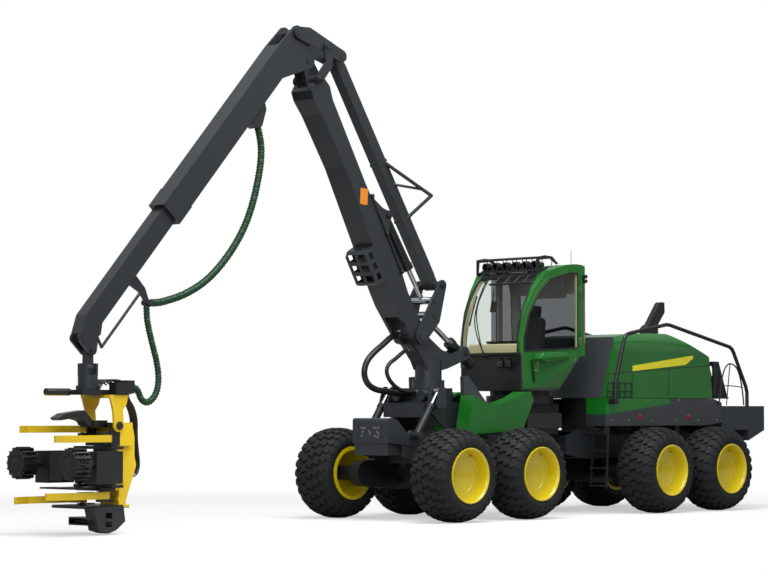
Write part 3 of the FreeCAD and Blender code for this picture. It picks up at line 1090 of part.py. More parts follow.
def make_cab():
    """Pressed-steel cab with its door opening and window openings, floor on the turntable."""
    shell = cab_form(0).cut(cab_form(CAB_WALL))
    openings = window_cuts() + [door_cut(DOOR_GAP)]
    shell = shell.cut(Part.makeCompound(openings))
    knuckles = []
    for z in KNUCKLE_Z:
        low = z + KNUCKLE_LEN + SEAT_GAP
        knuckles.append(post(DOOR_HINGE_X, DOOR_HINGE_Y, KNUCKLE_R, low, low + 90))
        knuckles.append(plate_xy([(DOOR_HINGE_X, DOOR_HINGE_Y - 9), (DOOR_HINGE_X - 60, CAB_HALF_W - 8),
                                  (DOOR_HINGE_X - 60, CAB_HALF_W + 8),
                                  (DOOR_HINGE_X, DOOR_HINGE_Y + KNUCKLE_R)], low + 10, low + 80))
    save("cab_shell", [fuse([shell] + knuckles)])
    glass_skin = cab_form(GLASS_INSET).cut(cab_form(GLASS_INSET + GLASS_THICK))
    panes = [glass_skin.common(cut) for cut in window_cuts()]
    save("cab_glass", panes)


def make_door():
    """Left door between the front pillar and the rear corner, hinged at its rear edge."""
    leaf_skin = cab_form(0).cut(cab_form(DOOR_THICK))
    leaf = leaf_skin.common(door_cut(0)).common(box(-3000, -1500, 500, 1000, 1900, 3900))
    prism = plate_xz(DOOR_WINDOW, 400, 1100)
    hinge = [post(DOOR_HINGE_X, DOOR_HINGE_Y, KNUCKLE_R, z, z + KNUCKLE_LEN) for z in KNUCKLE_Z]
    straps = [plate_xy([(DOOR_HINGE_X, DOOR_HINGE_Y - 9), (DOOR_HINGE_X + 18, DOOR_HINGE_Y - 10),
                        (DOOR_HINGE_X + 26, CAB_HALF_W - 20), (DOOR_HINGE_X + 58, CAB_HALF_W - 34),
                        (DOOR_HINGE_X + 58, CAB_HALF_W - 12), (DOOR_HINGE_X, DOOR_HINGE_Y + KNUCKLE_R)],
                       z + 20, z + KNUCKLE_LEN - 20) for z in KNUCKLE_Z]
    handle = tube_path([V(-1990, 650, 2190), V(-1990, 725, 2190), V(-1990, 725, 2340),
                        V(-1990, 650, 2340)], 11)
    save("cab_door", [fuse([leaf.cut(prism), handle] + hinge + straps)])
    glass_skin = cab_form(GLASS_INSET).cut(cab_form(GLASS_INSET + GLASS_THICK))
    save("door_glass", [glass_skin.common(prism).common(door_cut(-10))])


def make_seat():
    """Operator's seat on its post, with arm consoles."""
    seat_x = CAB_X + 10
    base = box(seat_x - 70, seat_x + 180, -180, 180, CAB_FLOOR_Z + CAB_WALL + SEAT_GAP, 2250)
    cushion = box(seat_x - 230, seat_x + 280, -260, 260, 2250, 2390)
    back = plate_xz([(seat_x - 230, 2380), (seat_x - 110, 2380), (seat_x - 190, 3050),
                     (seat_x - 300, 3050)],
                    -250, 250)
    headrest = box(seat_x - 320, seat_x - 230, -130, 130, 3040, 3230)
    arms = pair(box(seat_x - 200, seat_x + 250, 258, 360, 2380, 2520))
    save("cab_seat", [fuse([base, cushion, back, headrest] + arms)])


def make_work_lights():
    """Lamp rack on the roof's front edge."""
    rack = box(-2270, -2190, -600, 600, 3750, 3775)
    feet = pair(plate_xz([(-2560, cab_roof_at(-2560)), (-2210, cab_roof_at(-2210)), (-2210, 3770),
                          (-2300, 3885), (-2560, 3885)], 330, 370))
    lamps = [Part.makeCylinder(64, 90, V(-2270, y, 3833), V(1, 0, -0.12))
             for y in (-500, -300, -100, 100, 300, 500)]
    save("work_lights", [fuse([rack] + feet + lamps)])


# ---- rear frame -------------------------------------------------------------------------
def bumper_form(inset):
    """Rear bumper box, wider and shallower towards the back, drawn in all round by inset."""
    plan = plate_xy([(BUMPER_X0 + inset, inset - BUMPER_HALF_W), (BUMPER_X0 + inset, BUMPER_HALF_W - inset),
                     (BUMPER_FRONT_X - inset, BUMPER_FRONT_HALF - inset),
                     (BUMPER_FRONT_X - inset, inset - BUMPER_FRONT_HALF)], BUMPER_Z0, BUMPER_Z1)
    side = plate_xz([(BUMPER_FRONT_X - inset, BUMPER_Z0 + inset),
                     (BUMPER_FRONT_X - inset, BUMPER_Z1 - inset),
                     (BUMPER_X0 + inset, BUMPER_Z1 - inset), (BUMPER_X0 + inset, BUMPER_TAIL_Z + inset)],
                    -BUMPER_HALF_W, BUMPER_HALF_W)
    return plan.common(side)


def make_rear_frame():
    """Rear frame: tongue of the steering joint, box beam, deck, bumper and the access steps."""
    tongue = fuse([box(REAR_FRONT_X - 80, STEER_X, -FORK_R + 30, FORK_R - 30, TONGUE_Z0, TONGUE_Z1),
                   post(STEER_X, 0, FORK_R - 20, TONGUE_Z0, TONGUE_Z1)])
    tongue = tongue.cut(post(STEER_X, 0, STEER_PIN_R + PIN_GAP, 800, 1300))
    side = plate_xz([(REAR_FRONT_X, TONGUE_Z0 - 20), (REAR_FRONT_X, REAR_TOP - 80), (-3300, REAR_TOP),
                     (REAR_END_X, REAR_TOP), (REAR_END_X, REAR_BOTTOM + 120), (-6300, REAR_BOTTOM),
                     (-3500, REAR_BOTTOM)], FRAME_HALF_W - FRAME_SIDE, FRAME_HALF_W)
    wide = FRAME_HALF_W - FRAME_SIDE / 2
    front = box(REAR_FRONT_X - 60, REAR_FRONT_X, -wide, wide, TONGUE_Z0 - 20, REAR_TOP - 80)
    deck = box(REAR_END_X, -3300, -wide, wide, REAR_TOP - FRAME_PLATE, REAR_TOP)
    floor = box(-6300, -3500, -wide, wide, REAR_BOTTOM, REAR_BOTTOM + FRAME_PLATE)
    bulkheads = [box(x, x + 30, -wide, wide, REAR_BOTTOM + 100, REAR_TOP)
                 for x in (-4300, -5600, REAR_END_X)]
    outriggers = []
    for x in (-3600, -4500, -5400, -6300):
        arm = box(x, x + 120, FRAME_HALF_W - 20, OUTRIGGER_Y, REAR_TOP - 60, REAR_TOP)
        foot = box(x, x + 120, OUTRIGGER_Y - 180, OUTRIGGER_Y, REAR_TOP - 5, PANEL_LOW_Z)
        outriggers += pair(fuse([arm, foot]))
    bumper = bumper_form(0).cut(bumper_form(BUMPER_WALL))
    wing = plate_xy([(-6345, PANEL_HALF_W), (BUMPER_FRONT_X - 30, BUMPER_FRONT_HALF + 8),
                     (BUMPER_FRONT_X - 30, BUMPER_FRONT_HALF - 15), (-6345, PANEL_HALF_W - 22)],
                    WING_LOW_Z, BUMPER_Z1)
    brace = box(BUMPER_FRONT_X - 10, BUMPER_FRONT_X + 60, FRAME_HALF_W - 20, 800, REAR_TOP - 60, REAR_TOP)
    tow = box(BUMPER_X0 - 10, REAR_END_X + 20, -70, 70, BUMPER_Z0, TOW_TOP_Z)
    tow_hole = post(TOW_X, 0, TOW_HOLE_R, BUMPER_Z0 - 50, TOW_TOP_Z + 10)
    body = fuse([tongue, front, deck, floor, bumper, tow]
                + pair(side) + pair(wing) + pair(brace) + bulkheads + outriggers)
    save("rear_frame", [body.cut(Part.makeCompound([tow_hole, axle_window(REAR_BOGIE_X, REAR_BOTTOM)]))])


def make_ladder():
    """Boarding steps hung from the rear frame's front corner on the left."""
    rails = [plate_xz([(-3340, 1335), (-3290, 420), (-3250, 420), (-3300, 1335)], y, y + 14)
             for y in (700, 1000)]
    shifted = [box(-3345, -3230, 705, 1010, z, z + 18) for z in (430, 700, 970, 1240)]
    hanger = box(-3480 + SEAT_GAP, -3300, 700, 760, 1290, 1325)
    save("ladder", [fuse(rails + shifted + [hanger])])


def make_engine():
    """The engine and its cooling pack as one plain block under the hood."""
    save("engine_block", [box(-5300, -3900, -420, 420, REAR_TOP, 2080)])


def make_side_panels():
    """Dark service panels and tanks along both sides below the hood."""
    def panel(inset):
        low = PANEL_LOW_Z + inset
        top = PANEL_TOP_Z - inset
        return plate_xz([(PANEL_FRONT_X - inset, low), (PANEL_FRONT_X - inset, top), (HOOD_BACK_X - 10, top),
                         (-6340 + inset, top - 60),
                         (-6340 + inset, low + 40), (-5900, low)], 560 + inset, PANEL_HALF_W - inset)

    save("side_panels", pair(panel(0).cut(panel(PANEL_WALL))))


def make_grille():
    """Cooler housing with its louvred rear, behind the hood."""
    front = HOOD_BACK_X - 30
    profile = [(front, PANEL_TOP_Z + 4), (front, 2400), (front - 152, 2400), (front - 370, 1860),
               (front - 430, PANEL_TOP_Z + 4)]
    shell = plate_xz(profile, -HOOD_HALF_W, HOOD_HALF_W)
    inside = plate_xz([(front + 5, PANEL_TOP_Z + 30), (front + 5, 2370), (front - 135, 2370),
                       (front - 345, 1855), (front - 400, PANEL_TOP_Z + 30)], -HOOD_HALF_W + 25, HOOD_HALF_W - 25)
    louvres = [box(front - 570, front - 70, y, y + 60, 1900, 2330) for y in range(-840, 800, 130)]
    foot = box(front - 300, front - 30, -540, 540, REAR_TOP, PANEL_TOP_Z + 10)
    lugs = pair(fuse([pin_y((HOOD_HINGE_X, HOOD_HINGE_Z), HOOD_HINGE_R, HOOD_EAR_Y - 15, HOOD_EAR_Y + 60),
                      boss_plate([(HOOD_HINGE_X, HOOD_HINGE_Z, 30), (HOOD_HINGE_X - 110, 2385, 30)],
                                 HOOD_EAR_Y + 36, HOOD_EAR_Y + 60)]))
    save("cooling_grille", [fuse([shell.cut(inside).cut(Part.makeCompound(louvres)), foot] + lugs)])


def make_rails():
    """Tube guards from the front corners over the hood and down to the rear bumper."""
    points = [(-3440, PANEL_TOP_Z - 20), (-3464, 2072), (-3680, 2720), (-3720, 2775), (-3800, 2803),
              (-4740, 2962), (-4830, 2958), (-6430, 2640), (-6500, 2600), (-6545, 2540), (-6870, 1995),
              (-6902, 1900), (-6902, BUMPER_Z1 + SEAT_GAP)]
    rail = tube_path([V(x, RAIL_Y, z) for x, z in points], RAIL_R)
    foot = box(-3500, -3400, PANEL_HALF_W + SEAT_GAP, RAIL_Y + 30, PANEL_TOP_Z - 90, PANEL_TOP_Z - 10)
    save("guard_rails", pair(fuse([rail, foot])))


def hood_profile(inset):
    return [(HOOD_FRONT_X - inset, HOOD_LOW_Z), (HOOD_TOP_FRONT_X - inset, 2750 - inset),
            (-4100, 2805 - inset), (-4640, 2828 - inset), (-5130, 2832 - inset),
            (HOOD_BACK_X + 80 + inset, 2470 - inset), (HOOD_BACK_X + inset, 1901),
            (HOOD_BACK_X + inset, HOOD_LOW_Z)]


def hood_section(inset):
    """The hood seen from the front, its shoulders rounded by wide arcs, run the machine's length."""
    half = HOOD_HALF_W
    low = HOOD_LOW_Z - 200
    turn = [(half, HOOD_SHOULDER_Z), (half - 95, HOOD_SHOULDER_Z + 275),
            (half - 350, HOOD_SHOULDER_Z + 400)]
    left = [V(0, y, z) for y, z in turn]
    right = [V(0, -y, z) for y, z in turn]
    edges = [Part.makeLine(V(0, -half, low), V(0, half, low)), Part.makeLine(V(0, half, low), left[0]),
             Part.Arc(*left).toShape(), Part.makeLine(left[2], right[2]),
             Part.Arc(*reversed(right)).toShape(),
             Part.makeLine(right[0], V(0, -half, low))]
    face = Part.Face(Part.Wire(edges))
    if inset:
        face = face.makeOffset2D(-inset)
    return face.extrude(V(-7000, 0, 0))


def make_hood():
    """One-piece engine hood, hinged across its rear upper edge."""
    outer = plate_xz(hood_profile(0), -HOOD_HALF_W, HOOD_HALF_W).common(hood_section(0))
    inner = plate_xz([(x, z - (60 if z == HOOD_LOW_Z else 0)) for x, z in hood_profile(HOOD_WALL)],
                     -HOOD_HALF_W + HOOD_WALL, HOOD_HALF_W - HOOD_WALL).common(hood_section(HOOD_WALL))
    pin = (HOOD_HINGE_X, HOOD_HINGE_Z)
    ears = pair(boss_plate([boss(pin, 30), (HOOD_HINGE_X + 60, HOOD_HINGE_Z, 30)], HOOD_EAR_Y,
                           HOOD_EAR_Y + 30))
    bore = pin_y(pin, HOOD_HINGE_R + PIN_GAP, -700, 700)
    save("hood", [fuse([outer.cut(inner)] + ears).cut(bore)])


def make_exhaust():
    """Upright flattened exhaust fin on the hood."""
    (x0, z0), (x1, z1) = hood_profile(0)[4:6]
    slope = (z1 - z0) / (x1 - x0)
    foot = [(x, z0 + slope * (x - x0) + SEAT_GAP) for x in (-5480, -5130)]
    low = plate_xz(foot + [(-5150, 2940), (-5230, 2992), (-5462, 2962)], 200, 330)
    fin = plate_xz([(-5236, 2985), (-5528, 3352), (-5565, 3369), (-5655, 3369), (-5660, 3205),
                    (-5450, 2958)],
                   215, 315)
    save("exhaust", [fuse([low, fin])])


# ---- hoses ------------------------------------------------------------------------------
def make_hoses():
    """Hose runs: crane base to boom and pillar, jib to extension, extension to head, head hoses."""
    housing_x = SLEW_X + HOUSING_AHEAD + SEAT_GAP
    front = [V(housing_x, -50, 1845), V(120, -50, 1845), V(300, -51, 1845), V(520, -53, 1880),
             V(740, -54, 1900),
             V(915, -55, 1985), V(985, -55, 2140), V(930, -54, 2310), V(770, -52, 2450),
             V(570, -50, 2570), V(420, -48, 2680), V(250, -48, 2745)]
    save("base_hose_front", [hose(front, BASE_HOSE_R, "base_hose_front")])
    back = [V(housing_x, 45, 1870), V(110, 45, 1870), V(240, 46, 1870), V(440, 48, 1950),
            V(575, 48, 2065), V(622, 48, 2185),
            V(555, 48, 2290), V(410, 46, 2360), V(290, 45, 2440), V(200, 45, 2484), V(143, 45, 2495)]
    save("base_hose_back", [hose(back, BACK_HOSE_R, "base_hose_back")])
    jib_out = jib_at(1345, 12)
    jib_lead = jib_at(1345 + 68, 12 + 125)
    jib = [V(jib_out[0], 0, jib_out[1]), V(jib_lead[0], 0, jib_lead[1]), V(3068, 0, 5210), V(3090, 0, 4990),
           V(3145, 0, 4750), V(3235, 0, 4450), V(3390, 0, 4110), V(3660, 0, 3740), V(4040, 0, 3380),
           V(4460, 0, 3160), V(4830, 0, 3055), V(4980, 0, CLAMP[1]),
           V(CLAMP[0] - CLAMP_R - SEAT_GAP, 0, CLAMP[1])]
    save("jib_hose", [hose(jib, JIB_HOSE_R, "jib_hose")])
    drop_x = CLAMP[0] + 9
    head = [V(drop_x, 0, CLAMP[1] - CLAMP_R - SEAT_GAP), V(drop_x, 0, 2850), V(5128, 22, 2690),
            V(5080, 45, 2470),
            V(5020, 70, 2240), V(5000, 90, 2010), V(5060, 110, 1810), V(5210, 125, 1690),
            V(5345, 140, 1725),
            V(5400, 150, 1830), V(5460, 160, 1900), V(YOKE_REAR_X - SEAT_GAP, 160, 1900)]
    save("head_hose", [hose(head, HEAD_HOSE_R, "head_hose")])
    frame = [V(5590, 100, YOKE_REAR_Z - SEAT_GAP), V(5590, 100, 1750), V(5490, 100, 1640),
             V(5435, 100, 1470),
             V(5440, 100, 1290), V(5425, 100, 1110), V(5395, 100, 930), V(5405, 100, 820),
             V(5450, 100, 750), V(SPINE_X0 + 2, 100, 750)]
    save("frame_hose", [hose(frame, FRAME_HOSE_R, "frame_hose")])


# ---- build ------------------------------------------------------------------------------
for number, x in enumerate((FRONT_BOGIE_X + BOGIE_HALF_SPREAD, FRONT_BOGIE_X - BOGIE_HALF_SPREAD,
                            REAR_BOGIE_X + BOGIE_HALF_SPREAD, REAR_BOGIE_X - BOGIE_HALF_SPREAD), 1):
    make_wheel("wheel_left_%d" % number, x, 1)
    make_wheel("wheel_right_%d" % number, x, -1)
make_bogies("front_bogies", FRONT_BOGIE_X, FRAME_BOTTOM)
make_bogies("rear_bogies", REAR_BOGIE_X, REAR_BOTTOM)
make_front_frame()
make_turntable()
make_front_covers()
make_crane_base()
make_tilt_cylinders()
make_pillar()
make_lift_cylinder()
make_rocker()
make_boom()
make_boom_lamp()
make_bar()
make_knee()
make_jib()
make_extension()
make_reach_cylinder()
make_hanger()
make_yoke()
make_head_frame()
make_knives()
make_feed_arms()
make_feed_rollers()
make_saw_bar()
make_cab()
make_door()
make_seat()
make_work_lights()
make_rear_frame()
make_ladder()
make_engine()
make_side_panels()
make_grille()
make_rails()
make_hood()
make_exhaust()
make_hoses()
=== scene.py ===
import bpy
import bmesh
import json
import math
from mathutils import Matrix, Vector

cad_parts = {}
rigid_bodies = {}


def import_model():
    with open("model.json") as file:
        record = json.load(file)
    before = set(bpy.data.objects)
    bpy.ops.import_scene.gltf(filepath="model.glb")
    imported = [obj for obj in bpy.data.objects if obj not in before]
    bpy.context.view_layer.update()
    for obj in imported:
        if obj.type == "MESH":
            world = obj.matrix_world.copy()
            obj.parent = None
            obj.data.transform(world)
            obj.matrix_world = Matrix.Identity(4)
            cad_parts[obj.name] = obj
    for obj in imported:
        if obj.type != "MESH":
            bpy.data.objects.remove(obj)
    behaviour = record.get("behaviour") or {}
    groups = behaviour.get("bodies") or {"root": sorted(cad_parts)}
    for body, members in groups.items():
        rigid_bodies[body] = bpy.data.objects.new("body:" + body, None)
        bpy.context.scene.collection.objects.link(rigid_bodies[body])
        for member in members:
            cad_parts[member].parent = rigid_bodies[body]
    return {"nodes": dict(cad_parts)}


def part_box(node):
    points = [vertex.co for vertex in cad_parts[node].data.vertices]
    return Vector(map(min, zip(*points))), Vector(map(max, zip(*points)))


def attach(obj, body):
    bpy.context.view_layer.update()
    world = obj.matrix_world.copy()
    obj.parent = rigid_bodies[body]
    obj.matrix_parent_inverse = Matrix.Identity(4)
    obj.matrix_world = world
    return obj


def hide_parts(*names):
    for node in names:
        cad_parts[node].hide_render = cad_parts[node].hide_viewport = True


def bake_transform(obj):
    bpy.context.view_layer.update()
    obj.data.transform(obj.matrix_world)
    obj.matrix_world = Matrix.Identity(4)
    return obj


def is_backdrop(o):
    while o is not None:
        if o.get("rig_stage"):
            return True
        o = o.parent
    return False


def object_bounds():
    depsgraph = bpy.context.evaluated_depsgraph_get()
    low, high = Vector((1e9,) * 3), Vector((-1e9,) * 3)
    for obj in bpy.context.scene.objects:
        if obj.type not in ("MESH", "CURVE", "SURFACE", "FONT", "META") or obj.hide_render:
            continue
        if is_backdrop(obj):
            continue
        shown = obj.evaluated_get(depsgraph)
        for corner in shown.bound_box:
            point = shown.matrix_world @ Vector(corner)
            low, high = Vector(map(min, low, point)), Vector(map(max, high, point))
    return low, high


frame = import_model()
cad_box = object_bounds()
cad_node = frame["nodes"]

# ---- camera ------------------------------------------------------------------------------
# A long lens at eye height, well off the machine's left front, looking slightly up at it.
CAMERA_PLACE = (26.1995, 24.8127, 1.5805)
CAMERA_YAW = math.radians(224.1234)
CAMERA_PITCH = math.radians(2.9028)
camera_data = bpy.data.cameras.new("camera")
camera_data.lens = 114.41
camera_data.sensor_width = 36.0
camera_data.clip_end = 400.0
camera = bpy.data.objects.new("camera", camera_data)
looking = Vector((math.cos(CAMERA_PITCH) * math.cos(CAMERA_YAW),
                  math.cos(CAMERA_PITCH) * math.sin(CAMERA_YAW), math.sin(CAMERA_PITCH)))
camera.location = CAMERA_PLACE
camera.rotation_euler = looking.to_track_quat("-Z", "Y").to_euler()
bpy.context.scene.collection.objects.link(camera)
bpy.context.scene.camera = camera

# ---- crane hoses -------------------------------------------------------------------------
# Bundles of hydraulic hose along the jib and down to the head, each in a wound guard of dark
# green moulded plastic. Core and guard are swept along the same line.


def linear(hex_colour):
    """sRGB hex to the linear colour a shader takes."""
    parts = [int(hex_colour[i:i + 2], 16) / 255 for i in (1, 3, 5)]
    return tuple(c / 12.92 if c <= 0.04045 else ((c + 0.055) / 1.055) ** 2.4 for c in parts) + (1.0,)


def add_node(tree, kind, inputs=(), **settings):
    """Add a node, set its properties, and fill or link its sockets."""
    made = tree.nodes.new(kind)
    for name, value in settings.items():
        setattr(made, name, value)
    for key, value in dict(inputs).items():
        if isinstance(value, bpy.types.NodeSocket):
            tree.links.new(value, made.inputs[key])
        else:
            made.inputs[key].default_value = value
    return made


def new_material(name):
    """An empty material and its node tree, with the place on the machine as a socket."""
    made = bpy.data.materials.new(name)
    made.use_nodes = True
    made.node_tree.nodes.clear()
    tree = made.node_tree
    return made, tree, add_node(tree, "ShaderNodeTexCoord").outputs["Object"]


def noise(tree, place, scale, detail=4.0, roughness=0.6):
    return add_node(tree, "ShaderNodeTexNoise", {"Vector": place, "Scale": scale, "Detail": detail,
                                                 "Roughness": roughness}).outputs["Fac"]


def mixed(tree, share, low, high):
    return add_node(tree, "ShaderNodeMix", {0: share, 6: low, 7: high}, data_type="RGBA").outputs[2]


def surface(tree, **values):
    """A Principled surface on the output; names use _ for the spaces in the sockets' names."""
    shader = add_node(tree, "ShaderNodeBsdfPrincipled",
                      {name.replace("_", " "): value for name, value in values.items()})
    add_node(tree, "ShaderNodeOutputMaterial", {"Surface": shader.outputs["BSDF"]})


def grained(name, colour, worn, roughness, grain_mm, strength, cloud=6.0, specular=0.4):
    """Moulded rubber or plastic: cloudy tone and a fine grain from the mould."""
    material, tree, place = new_material(name)
    tone = mixed(tree, noise(tree, place, cloud, 6.0), linear(colour), linear(worn))
    bump = add_node(tree, "ShaderNodeBump", {"Height": noise(tree, place, 250 / grain_mm, 2.0),
                                             "Strength": strength, "Distance": 0.002})
    surface(tree, Base_Color=tone, Roughness=roughness, Specular_IOR_Level=specular,
            Normal=bump.outputs["Normal"])
    return material


def route(points, radius=0.0, sides=4):
    """A mesh swept along a smooth line through the control points, or the bare line."""
    curve = bpy.data.curves.new("route", "CURVE")
    curve.dimensions = "3D"
    spline = curve.splines.new("NURBS")
    spline.points.add(len(points) - 1)
    for point, place in zip(spline.points, points):
        point.co = (*place, 1.0)
    spline.order_u = 3
    spline.use_endpoint_u = True
    curve.resolution_u = 10
    curve.bevel_depth = radius
    curve.bevel_resolution = sides
    curve.use_fill_caps = radius > 0
    holder = bpy.data.objects.new("route", curve)
    mesh = bpy.data.meshes.new_from_object(holder)
    bpy.data.objects.remove(holder)
    bpy.data.curves.remove(curve)
    return mesh


def helix(points, radius, pitch, wire):
    """A wire wound about the line of the control points."""
    line = [v.co.copy() for v in route(points).vertices]
    turned = 0.0
    side = (line[1] - line[0]).orthogonal().normalized()
    wound = []
    for here, ahead in zip(line, line[1:]):
        run = ahead - here
        along = run.normalized()
        side = (side - along * side.dot(along)).normalized()
        steps = max(1, round(run.length / pitch * 12))
        for step in range(steps):
            angle = turned + 2 * math.pi * run.length / pitch * step / steps
            arm = side * math.cos(angle) + along.cross(side) * math.sin(angle)
            wound.append(here + run * step / steps + arm * radius)
        turned += 2 * math.pi * run.length / pitch
    curve = bpy.data.curves.new("helix", "CURVE")
    curve.dimensions = "3D"
    spline = curve.splines.new("POLY")
    spline.points.add(len(wound) - 1)
    for point, place in zip(spline.points, wound):
        point.co = (*place, 1.0)
    curve.bevel_depth = wire
    curve.bevel_resolution = 0
    holder = bpy.data.objects.new("helix", curve)
    mesh = bpy.data.meshes.new_from_object(holder)
    bpy.data.objects.remove(holder)
    bpy.data.curves.remove(curve)
    return mesh


def joined(*meshes):
    """Several meshes in one bmesh."""
    bm = bmesh.new()
    for mesh in meshes:
        bm.from_mesh(mesh)
        bpy.data.meshes.remove(mesh)
    return bm


def closed(bm, name, material, smooth_below=0.6):
    """Close a bmesh into a mesh with its finish, smooth where faces meet at a small angle."""
    bmesh.ops.recalc_face_normals(bm, faces=bm.faces)
    for edge in bm.edges:
        edge.smooth = len(edge.link_faces) == 2 and edge.calc_face_angle(0) < smooth_below
    for face in bm.faces:
        face.smooth = True
        face.material_index = 0
    mesh = bpy.data.meshes.new(name)
    bm.to_mesh(mesh)
    bm.free()
    mesh.materials.clear()
    mesh.materials.append(material)
    return mesh


def loose(name, mesh):
    made = bpy.data.objects.new(name, mesh)
    bpy.context.scene.collection.objects.link(made)
    return made


def piece(name, mesh, body):
    """Put a finished mesh on its body."""
    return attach(loose(name, mesh), body) or bpy.data.objects[name]


JIB_HOSE = [(3.1451, 0, 5.5432), (3.0941, 0, 5.4022), (3.068, 0, 5.21), (3.09, 0, 4.99),
            (3.145, 0, 4.75), (3.235, 0, 4.45), (3.39, 0, 4.11), (3.66, 0, 3.74),
            (4.04, 0, 3.38), (4.46, 0, 3.16), (4.83, 0, 3.055), (4.98, 0, 3.028),
            (5.095, 0, 3.028)]
HEAD_HOSE = [(5.1463, 0, 2.9857), (5.1463, 0, 2.85), (5.128, 0.022, 2.69), (5.08, 0.045, 2.47),
             (5.02, 0.07, 2.24), (5.0, 0.09, 2.01), (5.06, 0.11, 1.81), (5.21, 0.125, 1.69),
             (5.345, 0.14, 1.725), (5.4, 0.15, 1.83), (5.46, 0.16, 1.9), (5.5597, 0.16, 1.9)]
GUARD_PITCH = 0.042
GUARD_WIRE = 0.009
guard_plastic = grained("dark green moulded hose guard", "#14371F", "#1D4A2B", 0.42, 3.0, 0.15)
for name, points, radius, near, far in (
        ("jib_hose", JIB_HOSE, 0.055, "jib", "jib_extension"),
        ("head_hose", HEAD_HOSE, 0.048, "jib_extension", "hanger")):
    core = route(points, radius - GUARD_WIRE, 6)
    wound = helix(points, radius - GUARD_WIRE, GUARD_PITCH, GUARD_WIRE)
    bundle = loose(name + "_bundle", closed(joined(core, wound), name, guard_plastic))
    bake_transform(bundle)
    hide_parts(name)

# ---- base and head hoses -----------------------------------------------------------------
# Bare hydraulic hose: smooth black rubber cover over wire braid, held by zinc-plated crimped
# ferrules. Two loops rise beside the pillar; three hoses run down behind the head's frame.
BASE_FRONT = [(-0.0397, -0.05, 1.845), (0.12, -0.05, 1.845), (0.3, -0.051, 1.845),
              (0.52, -0.053, 1.88), (0.74, -0.054, 1.9), (0.915, -0.055, 1.985),
              (0.985, -0.055, 2.14), (0.93, -0.054, 2.31), (0.77, -0.052, 2.45),
              (0.57, -0.05, 2.57), (0.42, -0.048, 2.68), (0.25, -0.048, 2.745)]
BASE_BACK = [(-0.0397, 0.045, 1.87), (0.11, 0.045, 1.87), (0.24, 0.046, 1.87),
             (0.44, 0.048, 1.95), (0.575, 0.048, 2.065), (0.622, 0.048, 2.185),
             (0.555, 0.048, 2.29), (0.41, 0.046, 2.36), (0.29, 0.045, 2.44),
             (0.2, 0.045, 2.484), (0.143, 0.045, 2.495)]
FRAME_HOSE = [(5.59, 0.1, 1.8197), (5.59, 0.1, 1.75), (5.49, 0.1, 1.64), (5.435, 0.1, 1.47),
              (5.44, 0.1, 1.29), (5.425, 0.1, 1.11), (5.395, 0.1, 0.93), (5.405, 0.1, 0.82),
              (5.45, 0.1, 0.75), (5.505, 0.1, 0.75)]
hose_rubber = grained("smooth hose rubber", "#101112", "#1B1C1D", 0.34, 2.0, 0.06, specular=0.5)
plated = bpy.data.materials.new("zinc-plated ferrule steel")


def zinc_plate(material):
    material.use_nodes = True
    tree = material.node_tree
    tree.nodes.clear()
    place = add_node(tree, "ShaderNodeTexCoord").outputs["Object"]
    tone = mixed(tree, noise(tree, place, 30.0), linear("#9FA3A3"), linear("#B9BBB6"))
    surface(tree, Base_Color=tone, Metallic=1.0, Roughness=0.36)


zinc_plate(plated)


def cylinder(bm, start, end, radius, sides=20, end_radius=None, bevel=0.0):
    """A rod, cap or cone between two points."""
    start, end = Vector(start), Vector(end)
    turn = (end - start).to_track_quat("Z", "Y").to_matrix().to_4x4()
    made = bmesh.ops.create_cone(bm, cap_ends=True, segments=sides, radius1=radius,
                                 radius2=radius if end_radius is None else end_radius,
                                 depth=(end - start).length,
                                 matrix=Matrix.Translation((start + end) / 2) @ turn)
    if bevel:
        rims = [e for e in {e for v in made["verts"] for e in v.link_edges}
                if any(len(f.verts) > 4 for f in e.link_faces)]
        bmesh.ops.bevel(bm, geom=rims, offset=bevel, offset_type="OFFSET", segments=2, profile=0.5,
                        affect="EDGES", material=-1)


def ferrules(name, points, radius, body_at_start, body_at_end):
    for end, run, body in (("start", points[:2], body_at_start), ("end", points[:-3:-1], body_at_end)):
        bm = bmesh.new()
        first, second = Vector(run[0]), Vector(run[1])
        along = (second - first).normalized()
        cylinder(bm, first, first + along * 0.045, radius + 0.004, 24, bevel=0.002)
        piece("%s_ferrule_%s" % (name, end), closed(bm, "ferrule", plated), body)


for name, points, radius, offsets, near, far in (
        ("base_hose_front", BASE_FRONT, 0.045, (0,), "crane_base", "crane_pillar"),
        ("base_hose_back", BASE_BACK, 0.030, (0,), "crane_base", "crane_pillar"),
        ("frame_hose", FRAME_HOSE, 0.022, (-0.048, 0, 0.048), "head_yoke", "head_frame")):
    lines = []
    for number, offset in enumerate(offsets):
        moved = [(x, y + offset, z) for x, y, z in points]
        lines.append(route(moved, radius, 8))
        ferrules("%s_%d" % (name, number), moved, radius, near, far)
    line = loose(name + "_line", closed(joined(*lines), name, hose_rubber))
    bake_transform(line)
    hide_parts(name)

# ---- chassis and crane steel -------------------------------------------------------------
# Frames, bogies, crane arms and brackets: welded plate, shot-blasted and sprayed with charcoal
# two-pack paint. Sprayed paint has a faint orange peel, a soft sheen and a slightly cloudy tone.
# The crane arms and their pipes take a darker copy of the charcoal: painted shade on their sides.


def within(tree, place, **ranges):
    """1 inside a box of the machine, 0 outside: x, y and z as (low, high), None for no limit."""
    split = add_node(tree, "ShaderNodeSeparateXYZ", {"Vector": place})
    share = None
    for axis, (low, high) in ranges.items():
        for limit, kind in ((low, "GREATER_THAN"), (high, "LESS_THAN")):
            if limit is None:
                continue
            test = add_node(tree, "ShaderNodeMath", {0: split.outputs[axis.upper()], 1: limit},
                            operation=kind).outputs[0]
            share = test if share is None else add_node(tree, "ShaderNodeMath", {0: share, 1: test},
                                                        operation="MULTIPLY").outputs[0]
    return share


